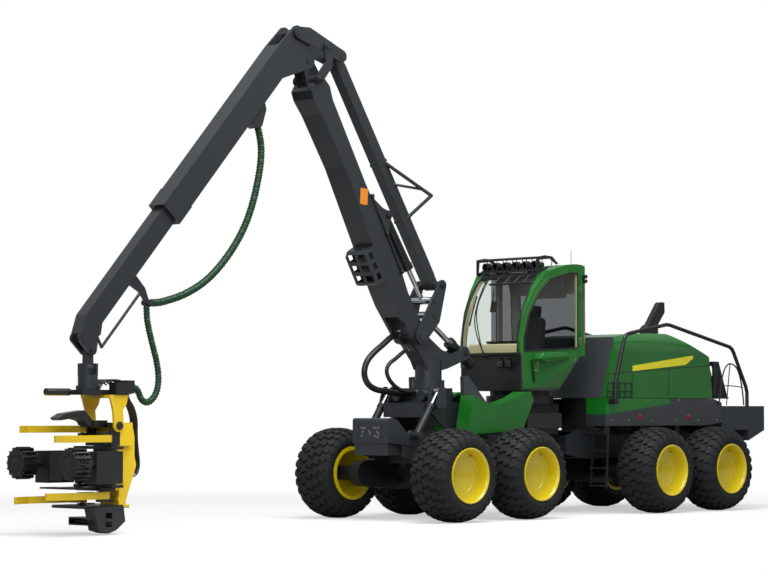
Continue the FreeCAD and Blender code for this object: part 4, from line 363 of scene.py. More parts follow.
def above_line(tree, place, x0, z0, x1, z1):
    """1 above the line through (x0, z0) and (x1, z1), seen from the side."""
    split = add_node(tree, "ShaderNodeSeparateXYZ", {"Vector": place})
    slope = (z1 - z0) / (x1 - x0)
    line = add_node(tree, "ShaderNodeMath", {0: split.outputs["X"], 1: slope, 2: z0 - slope * x0},
                    operation="MULTIPLY_ADD").outputs[0]
    return add_node(tree, "ShaderNodeMath", {0: split.outputs["Z"], 1: line},
                    operation="GREATER_THAN").outputs[0]


def both(tree, *shares):
    result = shares[0]
    for share in shares[1:]:
        result = add_node(tree, "ShaderNodeMath", {0: result, 1: share}, operation="MULTIPLY").outputs[0]
    return result


PEEL_MM = 6.0


def paint_on(tree, place, tone, roughness, coat, dust=0.10):
    """Sprayed paint over steel: orange peel, a clear-coat sheen, and road dust low down."""
    split = add_node(tree, "ShaderNodeSeparateXYZ", {"Vector": place})
    low = add_node(tree, "ShaderNodeMapRange", {"Value": split.outputs["Z"], "From Min": 0.2,
                                                "From Max": 1.7, "To Min": dust,
                                                "To Max": 0.0}).outputs["Result"]
    speck = noise(tree, place, 9.0, 8.0, 0.7)
    grime = add_node(tree, "ShaderNodeMath", {0: low, 1: speck}, operation="MULTIPLY").outputs[0]
    rough = add_node(tree, "ShaderNodeMapRange", {"Value": speck, "To Min": roughness - 0.05,
                                                  "To Max": roughness + 0.1}).outputs["Result"]
    bump = add_node(tree, "ShaderNodeBump", {"Height": noise(tree, place, 250 / PEEL_MM, 2.0),
                                             "Strength": 0.05, "Distance": 0.002})
    surface(tree, Base_Color=mixed(tree, grime, tone, linear("#6B6459")), Roughness=rough,
            Coat_Weight=coat, Coat_Roughness=0.1, Normal=bump.outputs["Normal"])


def sprayed_paint(name, colour, shade, roughness, coat, dust=0.10):
    material, tree, place = new_material(name)
    tone = mixed(tree, noise(tree, place, 2.2, 5.0), linear(colour), linear(shade))
    paint_on(tree, place, tone, roughness, coat, dust)
    return material


def finish_nodes(material, *names):
    """Give CAD pieces their finish."""
    for name in names:
        slots = cad_node[name].data.materials
        slots.clear()
        slots.append(material)


charcoal_paint = sprayed_paint("charcoal two-pack paint", "#2A2F32", "#24292C", 0.38, 0.2)
# Painted shade: the boom, jib and links use the charcoal paint made darker, as if their sides were out of
# the light.
shaded_boom_paint = sprayed_paint("charcoal boom paint darkened as painted shade", "#24282B", "#1F2326", 0.34, 0.3)
black_paint = sprayed_paint("black chassis paint", "#17191B", "#111314", 0.42, 0.1)
finish_nodes(charcoal_paint, "front_frame", "crane_base", "crane_pillar", "rear_frame",
             "lift_rocker", "boom_lamp", "hanger")
finish_nodes(shaded_boom_paint, "main_boom", "parallel_bar", "jib", "jib_extension", "knuckle_rocker",
             "knuckle_link")
finish_nodes(black_paint, "front_bogies", "rear_bogies", "ladder", "guard_rails", "cooling_grille",
             "feed_arm_left", "feed_arm_right", "exhaust", "engine_block", "lift_barrel",
             "reach_barrel", "tilt_barrels", "cab_turntable", "work_lights")

# ---- piston rods -------------------------------------------------------------------------
# Cylinder rods: ground steel with hard chrome, polished along their length to a mirror.


def bare_metal(name, colour, worn, rough_low, rough_high, scale):
    material, tree, place = new_material(name)
    streak = noise(tree, place, scale)
    rough = add_node(tree, "ShaderNodeMapRange", {"Value": streak, "To Min": rough_low,
                                                  "To Max": rough_high}).outputs["Result"]
    surface(tree, Base_Color=mixed(tree, streak, linear(colour), linear(worn)), Metallic=1.0,
            Roughness=rough)
    return material


hard_chrome = bare_metal("hard chrome", "#C9CDD0", "#D6D9DA", 0.05, 0.16, 40.0)
finish_nodes(hard_chrome, "tilt_rods", "lift_rod", "reach_rod")

# ---- tyres -------------------------------------------------------------------------------
# Eight wide forestry tyres: natural rubber moulded with rows of broad blocks and curved lugs
# that run down the shoulders, matt and a little grey. The carcass is turned about the axle.
TREAD_DEPTH = 0.040
PITCHES = 26
tyre_rubber = grained("moulded tyre rubber", "#17181A", "#232425", 0.7, 6.0, 0.3, specular=0.3)


def spun(bm, outline, steps=72):
    """Turn an outline of (radius, y) about the Y axis into a closed ring."""
    verts = [bm.verts.new((0, y, r)) for r, y in outline]
    edges = [bm.edges.new(pair) for pair in zip(verts, verts[1:])]
    bmesh.ops.spin(bm, geom=verts + edges, cent=(0, 0, 0), axis=(0, 1, 0), dvec=(0, 0, 0),
                   angle=2 * math.pi, steps=steps, use_merge=True)
    bmesh.ops.remove_doubles(bm, verts=bm.verts, dist=0.0002)


def add_block(bm, matrix, taper=1.0, bevel=0.0):
    """One block, its top drawn in by taper and its edges broken by bevel."""
    verts = bmesh.ops.create_cube(bm, size=1.0)["verts"]
    bmesh.ops.scale(bm, vec=(taper, taper, 1), verts=[v for v in verts if v.co.z > 0])
    bmesh.ops.transform(bm, matrix=matrix, verts=verts)
    if bevel:
        edges = list({e for v in verts for e in v.link_edges})
        bmesh.ops.bevel(bm, geom=edges, offset=bevel, offset_type="OFFSET", segments=1, profile=0.5,
                        affect="EDGES", material=-1)


def tread_block(bm, angle, y, top, length, width, skew, lean):
    """A block whose top centre stands at radius top and y, turned in its plane and leant over."""
    matrix = (Matrix.Rotation(angle, 4, "Y") @ Matrix.Translation((0, y, top))
              @ Matrix.Rotation(lean, 4, "X") @ Matrix.Translation((0, 0, -TREAD_DEPTH / 2))
              @ Matrix.Rotation(skew, 4, "Z") @ Matrix.Diagonal((length, width, TREAD_DEPTH, 1)))
    add_block(bm, matrix, taper=0.88)


def tyre_mesh():
    bm = bmesh.new()
    side = [(0.645, 0.0), (0.640, 0.10), (0.625, 0.18), (0.598, 0.25), (0.560, 0.302),
            (0.515, 0.332), (0.470, 0.343), (0.430, 0.335), (0.400, 0.312), (0.383, 0.300),
            (0.376, 0.285)]
    outline = [(r, -y) for r, y in reversed(side)] + side[1:]
    spun(bm, outline + [outline[0]], steps=96)
    step = math.pi / PITCHES
    for index in range(2 * PITCHES):
        turn = step * index
        for way in (1, -1):
            if (index + (way > 0)) % 2:
                tread_block(bm, turn, way * 0.058, 0.670, 0.128, 0.118, way * 0.35, -way * 0.04)
                tread_block(bm, turn + step * 0.5, way * 0.176, 0.652, 0.116, 0.108,
                            way * 0.3, -way * 0.22)
            else:
                tread_block(bm, turn, way * 0.262, 0.616, 0.074, 0.100, way * 0.35, -way * 0.52)
                tread_block(bm, turn + step * 0.28, way * 0.316, 0.560, 0.060, 0.090,
                            way * 0.3, -way * 0.95)
                tread_block(bm, turn + step * 0.48, way * 0.343, 0.505, 0.044, 0.060,
                            way * 0.2, -way * 1.25)
    return closed(bm, "tyre", tyre_rubber, 0.5)


def wheel_names():
    for side in ("left", "right"):
        for number in range(1, 5):
            yield "wheel_%s_%d" % (side, number)


def at_wheel(master, name):
    """A copy of a mesh made about the origin, turned to face out and moved to a wheel's centre."""
    low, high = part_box(name)
    centre = (low + high) / 2
    mesh = master.copy()
    if centre.y < 0:
        mesh.transform(Matrix.Rotation(math.pi, 4, "Z"))
    mesh.transform(Matrix.Translation(centre))
    return mesh


tyre_master = tyre_mesh()
for wheel in wheel_names():
    tyre = piece(wheel + "_tyre", at_wheel(tyre_master, wheel), wheel)
    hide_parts(wheel)

# ---- rims --------------------------------------------------------------------------------
# Deep steel rims, pressed and welded, sprayed gloss yellow: a rolled lip, a long cone inwards
# and a flat disc deep inside, with the valve near its edge.
RIM_RADIUS = 0.374
RIM_HALF = 0.335
rim_paint = sprayed_paint("gloss yellow rim paint", "#D9C30A", "#CDB608", 0.28, 0.5, dust=0.05)


def rim_mesh():
    bm = bmesh.new()
    spun(bm, [(0.345, -RIM_HALF), (0.396, -RIM_HALF), (0.398, -0.318), (RIM_RADIUS, -0.305),
              (RIM_RADIUS, 0.305), (0.396, 0.318), (0.400, 0.326), (0.398, RIM_HALF),
              (0.385, RIM_HALF + 0.006), (0.366, 0.326), (0.354, 0.305), (0.340, 0.20),
              (0.334, 0.165), (0.318, 0.155), (0.262, 0.150), (0.252, 0.138), (0.246, 0.135),
              (0.0, 0.135)], steps=64)
    spun(bm, [(0.0, 0.05), (0.33, 0.05), (0.345, -0.05), (0.345, -RIM_HALF)], steps=64)
    bmesh.ops.remove_doubles(bm, verts=bm.verts, dist=0.0002)
    cylinder(bm, (-0.165, 0.14, 0.265), (-0.165, 0.20, 0.272), 0.012, 8)
    return closed(bm, "rim", rim_paint)


rim_master = rim_mesh()
for wheel in wheel_names():
    piece(wheel + "_rim", at_wheel(rim_master, wheel), wheel)

# ---- front covers ------------------------------------------------------------------------
# Moulded fenders over the front wheels, sprayed gloss green, with a charcoal steel slab beside
# the crane's foot; one casting carries both, so the paint changes at the slab.


def green_over(name, colour, shade, *other):
    """Green paint with other colours inside stated parts: (share function, colour) pairs."""
    material, tree, place = new_material(name)
    tone = mixed(tree, noise(tree, place, 2.0, 5.0), linear(colour), linear(shade))
    for share, hex_colour in other:
        tone = mixed(tree, share(tree, place), tone, linear(hex_colour))
    paint_on(tree, place, tone, 0.30, 0.35, 0.12)
    return material


GREEN = "#126A1A"
GREEN_SHADE = "#0E5C16"
finish_nodes(green_over("gloss green fender paint", GREEN, GREEN_SHADE,
                        (lambda t, p: within(t, p, y=(-0.559, 0.559)), "#34393C")), "front_covers")

# ---- felling head ------------------------------------------------------------------------
# The head's frame, yoke and knives: thick plate and castings in yellow, with the measuring and
# saw housings in black and the valve block above the yoke bare of yellow. The feed rollers are
# worn steel, with rows of spikes and a ring of hub bolts.


def two_tone(name, colour, shade, share, other):
    material, tree, place = new_material(name)
    tone = mixed(tree, noise(tree, place, 3.0, 5.0), linear(colour), linear(shade))
    tone = mixed(tree, share(tree, place), tone, linear(other))
    paint_on(tree, place, tone, 0.36, 0.2, 0.08)
    return material


YELLOW = "#EFCB1A"
YELLOW_SHADE = "#E3BD12"
finish_nodes(sprayed_paint("yellow felling-head paint", YELLOW, YELLOW_SHADE, 0.34, 0.25), "knife_left",
             "knife_right")
finish_nodes(two_tone("yellow yoke paint, black block", YELLOW, YELLOW_SHADE,
                      lambda t, p: within(t, p, z=(1.799, None)), "#1B1D1F"), "head_yoke")
finish_nodes(two_tone("yellow spine paint, black housings", "#1F2123", "#191B1C",
                      lambda t, p: within(t, p, x=(None, 5.80), z=(0.35, None)), YELLOW), "head_frame")
roller_steel = bare_metal("worn roller steel", "#3A3B3B", "#5A5A58", 0.35, 0.6, 25.0)
finish_nodes(roller_steel, "feed_roller_left", "feed_roller_right", "saw_bar")
TOOTH_ROWS = 5
TEETH_ROUND = 18
ROW_SHIFT = 0.22
HUB_BOLTS = 8
HUB_CIRCLE = 0.55


def roller_teeth(name):
    """Rows of welded spikes round a feed roller, and a ring of bolts on its hub."""
    low, high = (Vector(corner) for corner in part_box(name))
    middle = (low + high) / 2
    radius = (high.z - low.z) / 2
    bm = bmesh.new()
    for row in range(TOOTH_ROWS):
        x = low.x + (high.x - low.x) * (row + 0.5) / TOOTH_ROWS
        for tooth in range(TEETH_ROUND):
            angle = 2 * math.pi * (tooth + ROW_SHIFT * row) / TEETH_ROUND
            out = Vector((0, math.cos(angle), math.sin(angle)))
            foot = Vector((x, middle.y, middle.z))
            cylinder(bm, foot + out * (radius - 0.045), foot + out * (radius - 0.002), 0.014, 6, 0.004)
    for x, side in ((high.x, 1), (low.x, -1)):
        cylinder(bm, (x - side * 0.03, middle.y, middle.z), (x + side * 0.004, middle.y, middle.z),
                 radius * 0.36, 24, bevel=0.003)
        for bolt in range(HUB_BOLTS):
            angle = 2 * math.pi * bolt / HUB_BOLTS
            out = Vector((0, math.cos(angle), math.sin(angle))) * radius * HUB_CIRCLE
            place = Vector((x, middle.y, middle.z)) + out
            cylinder(bm, place - Vector((side * 0.02, 0, 0)), place + Vector((side * 0.006, 0, 0)),
                     0.012, 6)
    return closed(bm, name + "_teeth", roller_steel)


for name in ("feed_roller_left", "feed_roller_right"):
    piece(name + "_teeth", roller_teeth(name), name)

# ---- cab ---------------------------------------------------------------------------------
# Pressed-steel cab, sprayed green outside; the panel under the windscreen, the roof's front and
# the floor pan are black. Panes are laminated safety glass bonded into rubber seals.
finish_nodes(green_over("gloss green cab paint", GREEN, GREEN_SHADE,
                        (lambda t, p: within(t, p, x=(-1.76, None), z=(None, 2.47)), "#141617"),
                        (lambda t, p: within(t, p, x=(-1.80, None), y=(-0.64, 0.605), z=(None, 2.47)),
                         "#141617"),
                        (lambda t, p: within(t, p, z=(None, 1.93)), "#141617"),
                        (lambda t, p: within(t, p, x=(-2.37, None), y=(-0.56, 0.56), z=(3.62, None)),
                         "#141617")), "cab_shell")
finish_nodes(green_over("gloss green door paint", GREEN, GREEN_SHADE), "cab_door")


def clear_pane(name, tint, shine, smoked=None):
    """Thin glass: tinted see-through with a faint gloss; smoked is the tint of the rear panes."""
    material, tree, place = new_material(name)
    colour = linear(tint)
    if smoked:
        rear = within(tree, place, x=(None, -2.62), y=(None, 0.62))
        colour = mixed(tree, rear, colour, linear(smoked))
    through = add_node(tree, "ShaderNodeBsdfTransparent", {"Color": colour})
    film = add_node(tree, "ShaderNodeMapRange", {"Value": noise(tree, place, 4.0), "To Min": 0.01,
                                                 "To Max": 0.03}).outputs["Result"]
    gloss = add_node(tree, "ShaderNodeBsdfGlossy", {"Color": linear("#FFFFFF"), "Roughness": film})
    facing = add_node(tree, "ShaderNodeLayerWeight", {"Blend": shine})
    mix = add_node(tree, "ShaderNodeMixShader", {0: facing.outputs["Fresnel"],
                                                 1: through.outputs["BSDF"], 2: gloss.outputs["BSDF"]})
    add_node(tree, "ShaderNodeOutputMaterial", {"Surface": mix.outputs["Shader"]})
    return material


finish_nodes(clear_pane("laminated safety glass, smoked at the rear", "#F4F7F5", 0.08, "#ACADAF"),
             "cab_glass")
finish_nodes(clear_pane("tinted door glass", "#ECEEEE", 0.08), "door_glass")

# ---- cab lining --------------------------------------------------------------------------
# Beige vacuum-formed trim glued to the inside of the shell and door, grey on the rear posts: a
# skin a few millimetres inside the steel, taken from the steel's own inner faces. The jamb
# behind the door has no trim.
beige_trim, tree, place = new_material("beige vacuum-formed trim, grey on the rear posts")
surface(tree, Base_Color=mixed(tree, within(tree, place, x=(None, -2.62), y=(None, 0.60)),
                                  linear("#DCCCA8"), linear("#A6A6A5")),
        Roughness=noise(tree, place, 40.0))
CAB_MIDDLE = Vector((-2.40, 0.0, 2.85))
TRIM_OFF = 0.004
DOOR_JAMB_X = -2.70
DOOR_JAMB_Y = 0.76


def lining(node):
    bm = bmesh.new()
    bm.from_mesh(cad_node[node].data)
    bm.transform(cad_node[node].matrix_world)
    bmesh.ops.remove_doubles(bm, verts=bm.verts, dist=0.00005)
    bmesh.ops.recalc_face_normals(bm, faces=bm.faces)
    outer = [f for f in bm.faces
             if f.normal.dot((CAB_MIDDLE - f.calc_center_median()).normalized()) < 0.35
             or (node == "cab_shell" and f.calc_center_median().y > DOOR_JAMB_Y
                 and f.calc_center_median().x < DOOR_JAMB_X)]
    bmesh.ops.delete(bm, geom=outer, context="FACES")
    for vert in bm.verts:
        vert.co += vert.normal * TRIM_OFF
    return closed(bm, node + "_lining", beige_trim)


piece("cab_lining", lining("cab_shell"), "cab")
piece("door_lining", lining("cab_door"), "cab_door")

# ---- operator's seat ---------------------------------------------------------------------
# Air-sprung seat: charcoal woven cloth over moulded foam, one pass of subdivision for the swell
# of each pad, on a black moulded console with two arm pods.
SEAT_X = -2.46
seat_cloth = grained("charcoal woven seat cloth", "#2A2C2F", "#35373A", 0.85, 1.5, 0.3, cloud=12.0)
console_plastic = grained("black moulded console plastic", "#202224", "#292B2D", 0.5, 2.0, 0.15)


def cushion(name, matrix, swell):
    """A padded block: rounded, and swollen between its seams."""
    bm = bmesh.new()
    verts = bmesh.ops.create_cube(bm, size=1.0)["verts"]
    bmesh.ops.subdivide_edges(bm, edges=bm.edges, cuts=5, use_grid_fill=True)
    for vert in bm.verts:
        x, y, z = (2 * c for c in vert.co)
        vert.co.x *= 1 + swell * (1 - y * y) * (1 - z * z)
        vert.co.y *= 1 + swell * (1 - x * x) * (1 - z * z)
        vert.co.z *= 1 + 2 * swell * (1 - x * x) * (1 - y * y)
    bmesh.ops.transform(bm, matrix=matrix, verts=bm.verts)
    pad = piece(name, closed(bm, name, seat_cloth, 3.2), "cab")
    soft = pad.modifiers.new("rounded", "SUBSURF")
    soft.levels = soft.render_levels = 2


def tilted(x, y, z, size, lean=0.0):
    return (Matrix.Translation((x, y, z)) @ Matrix.Rotation(lean, 4, "Y")
            @ Matrix.Diagonal((*size, 1)))


cushion("seat_cushion", tilted(SEAT_X + 0.02, 0, 2.33, (0.50, 0.50, 0.15)), 0.06)
cushion("seat_back", tilted(SEAT_X - 0.20, 0, 2.70, (0.13, 0.48, 0.66), -0.12), 0.06)
cushion("seat_headrest", tilted(SEAT_X - 0.27, 0, 3.13, (0.09, 0.26, 0.18), -0.12), 0.08)
bm = bmesh.new()
add_block(bm, tilted(SEAT_X, 0, 2.11, (0.34, 0.34, 0.28)), bevel=0.02)
for way in (1, -1):
    add_block(bm, tilted(SEAT_X + 0.02, way * 0.31, 2.45, (0.44, 0.095, 0.13)), bevel=0.015)
    cylinder(bm, (SEAT_X + 0.17, way * 0.31, 2.50), (SEAT_X + 0.19, way * 0.31, 2.63), 0.016)
console = piece("seat_console", closed(bm, "seat_console", console_plastic), "cab")
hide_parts("cab_seat")

# ---- cab fittings ------------------------------------------------------------------------
# Black rubber seals in the window edges, two wipers of painted steel, an inside mirror, a whip
# aerial, two square lamps on the front panel and a green moulded ledge across the door.
SEAL_RADIUS = 0.011
WIPER_RADIUS = 0.009
seal_rubber = grained("black rubber window seal", "#0E0F10", "#161718", 0.55, 2.0, 0.1)
SCREEN_LINE = [(-1.708, 2.47), (-1.698, 2.68), (-1.795, 3.10), (-1.990, 3.455), (-2.125, 3.628)]


def slab(bm, outline, y0, y1, bevel=0.0):
    """A plate cut to an outline of (x, z) and standing from y0 to y1."""
    face = bm.faces.new([bm.verts.new((x, y0, z)) for x, z in outline])
    made = bmesh.ops.extrude_face_region(bm, geom=[face])["geom"]
    moved = [g for g in made if isinstance(g, bmesh.types.BMVert)]
    bmesh.ops.translate(bm, vec=(0, y1 - y0, 0), verts=moved)
    if bevel:
        edges = list({e for v in moved for e in v.link_edges})
        bmesh.ops.bevel(bm, geom=edges, offset=bevel, offset_type="OFFSET", segments=2, profile=0.5,
                        affect="EDGES", material=-1)


def tubes(name, runs, material, body):
    """Round bars or cables along several runs of points, as (points, radius)."""
    return piece(name, closed(joined(*[route(points, radius, 3) for points, radius in runs]), name,
                              material), body)


def door_side(x, z):
    """A point just outside the door glass, whose plane splays outwards to the rear."""
    return x, 0.600 + 0.2137 * (-1.700 - x) + 0.004, z


DOOR_GLASS = [(-1.800, 2.500), (-1.794, 2.690), (-1.890, 3.067), (-2.076, 3.393), (-2.268, 3.598),
              (-2.630, 3.708), (-2.795, 3.708), (-2.795, 2.562), (-1.800, 2.500)]
doubled = [p for a, b in zip(DOOR_GLASS, DOOR_GLASS[1:])
           for p in (a, tuple(0.94 * u + 0.06 * v for u, v in zip(a, b)),
                     tuple(0.06 * u + 0.94 * v for u, v in zip(a, b)))]
tubes("door_seal", [([door_side(x, z) for x, z in doubled + [DOOR_GLASS[0]]], SEAL_RADIUS)],
      seal_rubber, "cab_door")
sides = [([(x + 0.004, y, z) for x, z in SCREEN_LINE], SEAL_RADIUS) for y in (-0.565, 0.565)]
cross = [([(x + 0.004, -0.565, z), (x + 0.004, 0.0, z), (x + 0.004, 0.565, z)], SEAL_RADIUS)
         for x, z in (SCREEN_LINE[0], SCREEN_LINE[-1])]
tubes("screen_seal", sides + cross, seal_rubber, "cab")
tubes("wipers", [([(-1.690, -0.100, 2.39), (-1.680, -0.279, 2.95), (-1.730, -0.250, 3.32),
                   (-1.850, -0.116, 3.65)],
                  WIPER_RADIUS),
                 ([(-1.690, -0.060, 2.39), (-1.685, -0.320, 2.80), (-1.735, -0.300, 3.26),
                   (-1.860, -0.170, 3.66)],
                  WIPER_RADIUS),
                 ([(-1.680, -0.391, 2.90), (-1.715, -0.360, 3.15), (-1.785, -0.330, 3.36)], 0.013),
                 ([(-1.675, 0.02, 2.44), (-1.672, -0.2, 2.43), (-1.675, -0.45, 2.46)], 0.012)],
      seal_rubber, "cab")
tubes("aerial", [([(-2.76, 0.742, 3.80), (-2.76, 0.742, 3.90), (-2.76, 0.742, 4.071)], 0.004),
                 ([(-2.76, 0.742, 3.79), (-2.76, 0.742, 3.82), (-2.76, 0.742, 3.85)], 0.012)],
      seal_rubber, "cab")
bm = bmesh.new()
add_block(bm, tilted(-1.84, -0.03, 3.19, (0.02, 0.14, 0.17), -0.2), bevel=0.008)
add_block(bm, tilted(-1.86, -0.06, 3.36, (0.012, 0.012, 0.22), -0.2))
for y in (0.225, 0.385, -0.52):
    add_block(bm, tilted(-1.688, y, 2.30, (0.05, 0.105, 0.105)), bevel=0.012)
    add_block(bm, tilted(-1.70, y, 2.375, (0.03, 0.03, 0.06)))
add_block(bm, tilted(-1.700, 0.02, 2.455, (0.05, 1.12, 0.05)), bevel=0.012)
slab(bm, [(-1.95, 2.02), (-1.90, 2.36), (-1.93, 2.38), (-1.98, 2.03)], 0.672, 0.678)
piece("cab_mouldings", closed(bm, "cab_mouldings", seal_rubber), "cab")
lamp_faces = bmesh.new()
for y in (0.225, 0.385, -0.52):
    add_block(lamp_faces, tilted(-1.661, y, 2.30, (0.006, 0.085, 0.080)), bevel=0.002)
piece("panel_lamp_lenses", closed(lamp_faces, "lenses", bare_metal(
    "aluminium reflector behind a lens", "#5A5D5E", "#77797A", 0.2, 0.4, 50.0)), "cab")
bm = bmesh.new()
slab(bm, [(-1.96, 2.375), (-2.02, 2.475), (-2.55, 2.500), (-2.66, 2.44), (-2.60, 2.385), (-2.10, 2.33)],
     0.66, 0.815, 0.02)
piece("door_ledge",
      closed(bm, "door_ledge", sprayed_paint("gloss green ledge paint", GREEN, GREEN_SHADE, 0.3, 0.35)),
      "cab_door")
bm = bmesh.new()
add_block(bm, tilted(-2.93, 0.845, 3.62, (0.03, 0.05, 0.15)), bevel=0.01)
add_block(bm, tilted(-2.93, 0.885, 3.66, (0.06, 0.05, 0.055)), bevel=0.008)
add_block(bm, tilted(-2.93, 0.885, 3.59, (0.06, 0.05, 0.055)), bevel=0.008)
piece("rear_corner_lamps", closed(bm, "rear_corner_lamps", seal_rubber), "cab")
bm = bmesh.new()
add_block(bm, tilted(-1.80, -0.02, 2.53, (0.06, 0.98, 0.17), -0.1), bevel=0.02)
piece("dash", closed(bm, "dash", beige_trim), "cab")
bm = bmesh.new()
add_block(bm, tilted(-1.86, 0.12, 2.64, (0.09, 0.60, 0.035), -0.1), bevel=0.012)
piece("dash_top", closed(bm, "dash_top", seal_rubber), "cab")

# ---- lamp rack ---------------------------------------------------------------------------
# Guard frame round the roof lamps: two laser-cut steel end plates, welded round bars between
# them, and cables running from the lamps down to the header and the corner post, all black.
RACK_HALF = 0.615
RACK_BAR = 0.011
bars = []
for x, z in ((-2.105, 3.735), (-2.105, 3.925), (-2.30, 3.955), (-2.47, 3.950)):
    bars.append(([(x, -RACK_HALF, z), (x, 0, z), (x, RACK_HALF, z)], RACK_BAR))
for y in (-0.6, -0.4, -0.2, 0.0, 0.2, 0.4, 0.6):
    bars.append(([(-2.105, y, 3.735), (-2.105, y, 3.83), (-2.105, y, 3.925)], 0.007))
    bars.append(([(-2.105, y, 3.925), (-2.28, y, 3.965), (-2.47, y, 3.950)], 0.007))
    bars.append(([(-2.47, y, 3.950), (-2.48, y, 3.88), (-2.45, y, 3.80)], 0.007))
tubes("rack_bars", bars, black_paint, "cab")
bm = bmesh.new()
for y in (-RACK_HALF, RACK_HALF):
    slab(bm, [(-2.09, 3.94), (-2.09, 3.70), (-2.14, 3.69), (-2.16, 3.90), (-2.40, 3.925), (-2.56, 3.84),
              (-2.60, 3.86), (-2.46, 3.965), (-2.28, 3.975)], y - 0.004, y + 0.004)
    slab(bm, [(-2.12, 3.70), (-2.20, 3.76), (-2.40, 3.82), (-2.38, 3.79), (-2.18, 3.68)],
         y - 0.01, y - 0.004)
add_block(bm, tilted(-2.045, 0.12, 3.545, (0.03, 0.86, 0.035), 0.9), bevel=0.008)
piece("rack_plates", closed(bm, "rack_plates", black_paint), "cab")
tubes("lamp_cables", [([(-2.24, y, 3.80), (-2.17, y, 3.73), (-2.12, y - 0.07, 3.655),
                        (-2.03, y - 0.10, 3.56)], 0.009)
                      for y in (-0.28, -0.08, 0.12, 0.32, 0.5)]
      + [([(-2.22, -0.50, 3.80), (-2.02, -0.56, 3.56), (-1.86, -0.60, 3.28), (-1.74, -0.60, 2.90),
          (-1.70, -0.60, 2.50)],
          0.011)], hose_rubber, "cab")

# ---- pins and bolts ----------------------------------------------------------------------
# Turned steel pin heads at the crane's pivots and zinc-plated bolts in the nose; a blank orange
# notice plate on each side of the boom.
pin_steel = bare_metal("turned pin steel", "#3E4143", "#5C5F60", 0.3, 0.5, 40.0)
PIN_CAPS = (("crane_pillar", -1.0, 2.47, 0.055), ("crane_pillar", 0.055, 2.70, 0.075),
            ("lift_rocker", -0.38207, 3.45839, 0.055), ("main_boom", 0.62404, 4.44893, 0.050),
            ("main_boom", 2.28967, 6.54417, 0.075), ("main_boom", 2.16844, 6.28787, 0.050),
            ("jib", 2.51581, 6.91529, 0.050), ("jib_extension", 6.13448, 2.38084, 0.045),
            ("crane_base", -0.4, 1.3, 0.070), ("head_yoke", 5.85, 1.40, 0.055))


def width_at(name, x, z, radius):
    """How far a CAD piece reaches sideways close to a pivot."""
    here = cad_node[name]
    spots = [here.matrix_world @ v.co for v in here.data.vertices]
    near = [abs(spot.y) for spot in spots if math.hypot(spot.x - x, spot.z - z) < radius * 1.6]
    return max(near)


for number, (body, x, z, radius) in enumerate(PIN_CAPS):
    reach = width_at(body, x, z, radius)
    bm = bmesh.new()
    for side in (-1, 1):
        cylinder(bm, (x, side * (reach - 0.01), z), (x, side * (reach + 0.006), z), radius, 28,
                 bevel=0.003)
        cylinder(bm, (x, side * (reach + 0.004), z), (x, side * (reach + 0.009), z), radius * 0.45, 20,
                 bevel=0.002)
    piece("pin_cap_%d" % number, closed(bm, "pin_cap", pin_steel), body)


BOLT_PROUD = 0.004


def bolts(name, spots, axis, radius, body):
    """Hexagon bolt heads standing proud at a list of points, along axis 0, 1 or 2."""
    bm = bmesh.new()
    along = Vector([BOLT_PROUD if index == axis else 0.0 for index in range(3)])
    for spot in spots:
        cylinder(bm, Vector(spot) - along, Vector(spot) + along, radius, 6)
        cylinder(bm, Vector(spot) - along, Vector(spot) + along * 0.3, radius * 1.5, 16)
    piece(name, closed(bm, name, plated), body)


NOSE_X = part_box("front_frame")[1][0]
bolts("nose_bolts", [(NOSE_X, y, z) for y, z in
                     ((-0.18, 1.35), (-0.14, 1.345), (-0.10, 1.35), (0.08, 1.35), (0.12, 1.345),
                      (0.17, 1.35), (-0.15, 1.29), (-0.02, 1.30), (0.0, 1.27), (0.14, 1.29),
                      (0.17, 1.27), (0.10, 1.23), (-0.17, 1.23), (0.15, 1.22))], 0, 0.011, "front_frame")
label_card, tree, place = new_material("blank orange notice plate")
surface(tree, Base_Color=mixed(tree, noise(tree, place, 8.0), linear("#E08A1E"), linear("#D98218")),
        Roughness=0.35)
BOOM_SIDE = width_at("main_boom", 1.2, 4.6, 0.35)
bm = bmesh.new()
for side in (-1, 1):
    add_block(bm, Matrix.Translation((1.241, side * (BOOM_SIDE + 0.001), 4.678))
              @ Matrix.Rotation(-0.06, 4, "Y")
              @ Matrix.Diagonal((0.150, 0.003, 0.235, 1)))
piece("notice_plates", closed(bm, "notice_plates", label_card), "main_boom")

# ---- hood --------------------------------------------------------------------------------
# One-piece engine hood, moulded and sprayed gloss green. A yellow flash runs back along each
# side, and the front bulkhead inside its green lip is charcoal.
STRIPE = (-4.02, 2.30, -5.70, 2.50)


def stripe_share(tree, place):
    side = both(tree, within(tree, place, x=(-5.60, -4.03)),
                above_line(tree, place, -4.02, 2.215, -5.40, 2.335),
                add_node(tree, "ShaderNodeMath", {0: 1.0, 1: above_line(tree, place, *STRIPE)},
                         operation="SUBTRACT").outputs[0])
    return both(tree, side, above_line(tree, place, -5.40, 2.335, -5.73, 2.51))


def side_faces(tree, place):
    split = add_node(tree, "ShaderNodeSeparateXYZ", {"Vector": place})
    size = add_node(tree, "ShaderNodeMath", {0: split.outputs["Y"]}, operation="ABSOLUTE").outputs[0]
    return add_node(tree, "ShaderNodeMath", {0: size, 1: 0.925}, operation="GREATER_THAN").outputs[0]


finish_nodes(green_over("gloss green hood paint with yellow flash", GREEN, GREEN_SHADE,
                        (lambda t, p: both(t, stripe_share(t, p), side_faces(t, p)), "#E8DC10"),
                        (lambda t, p: within(t, p, x=(-3.66, None), y=(-0.87, 0.87)), "#3A3D40")), "hood")
finish_nodes(green_over("green over charcoal panel paint", "#303437", "#2A2E31",
                        (lambda t, p: both(t, above_line(t, p, -3.42, 1.55, -4.90, 1.70),
                                           within(t, p, x=(-4.95, None))), GREEN)), "side_panels")

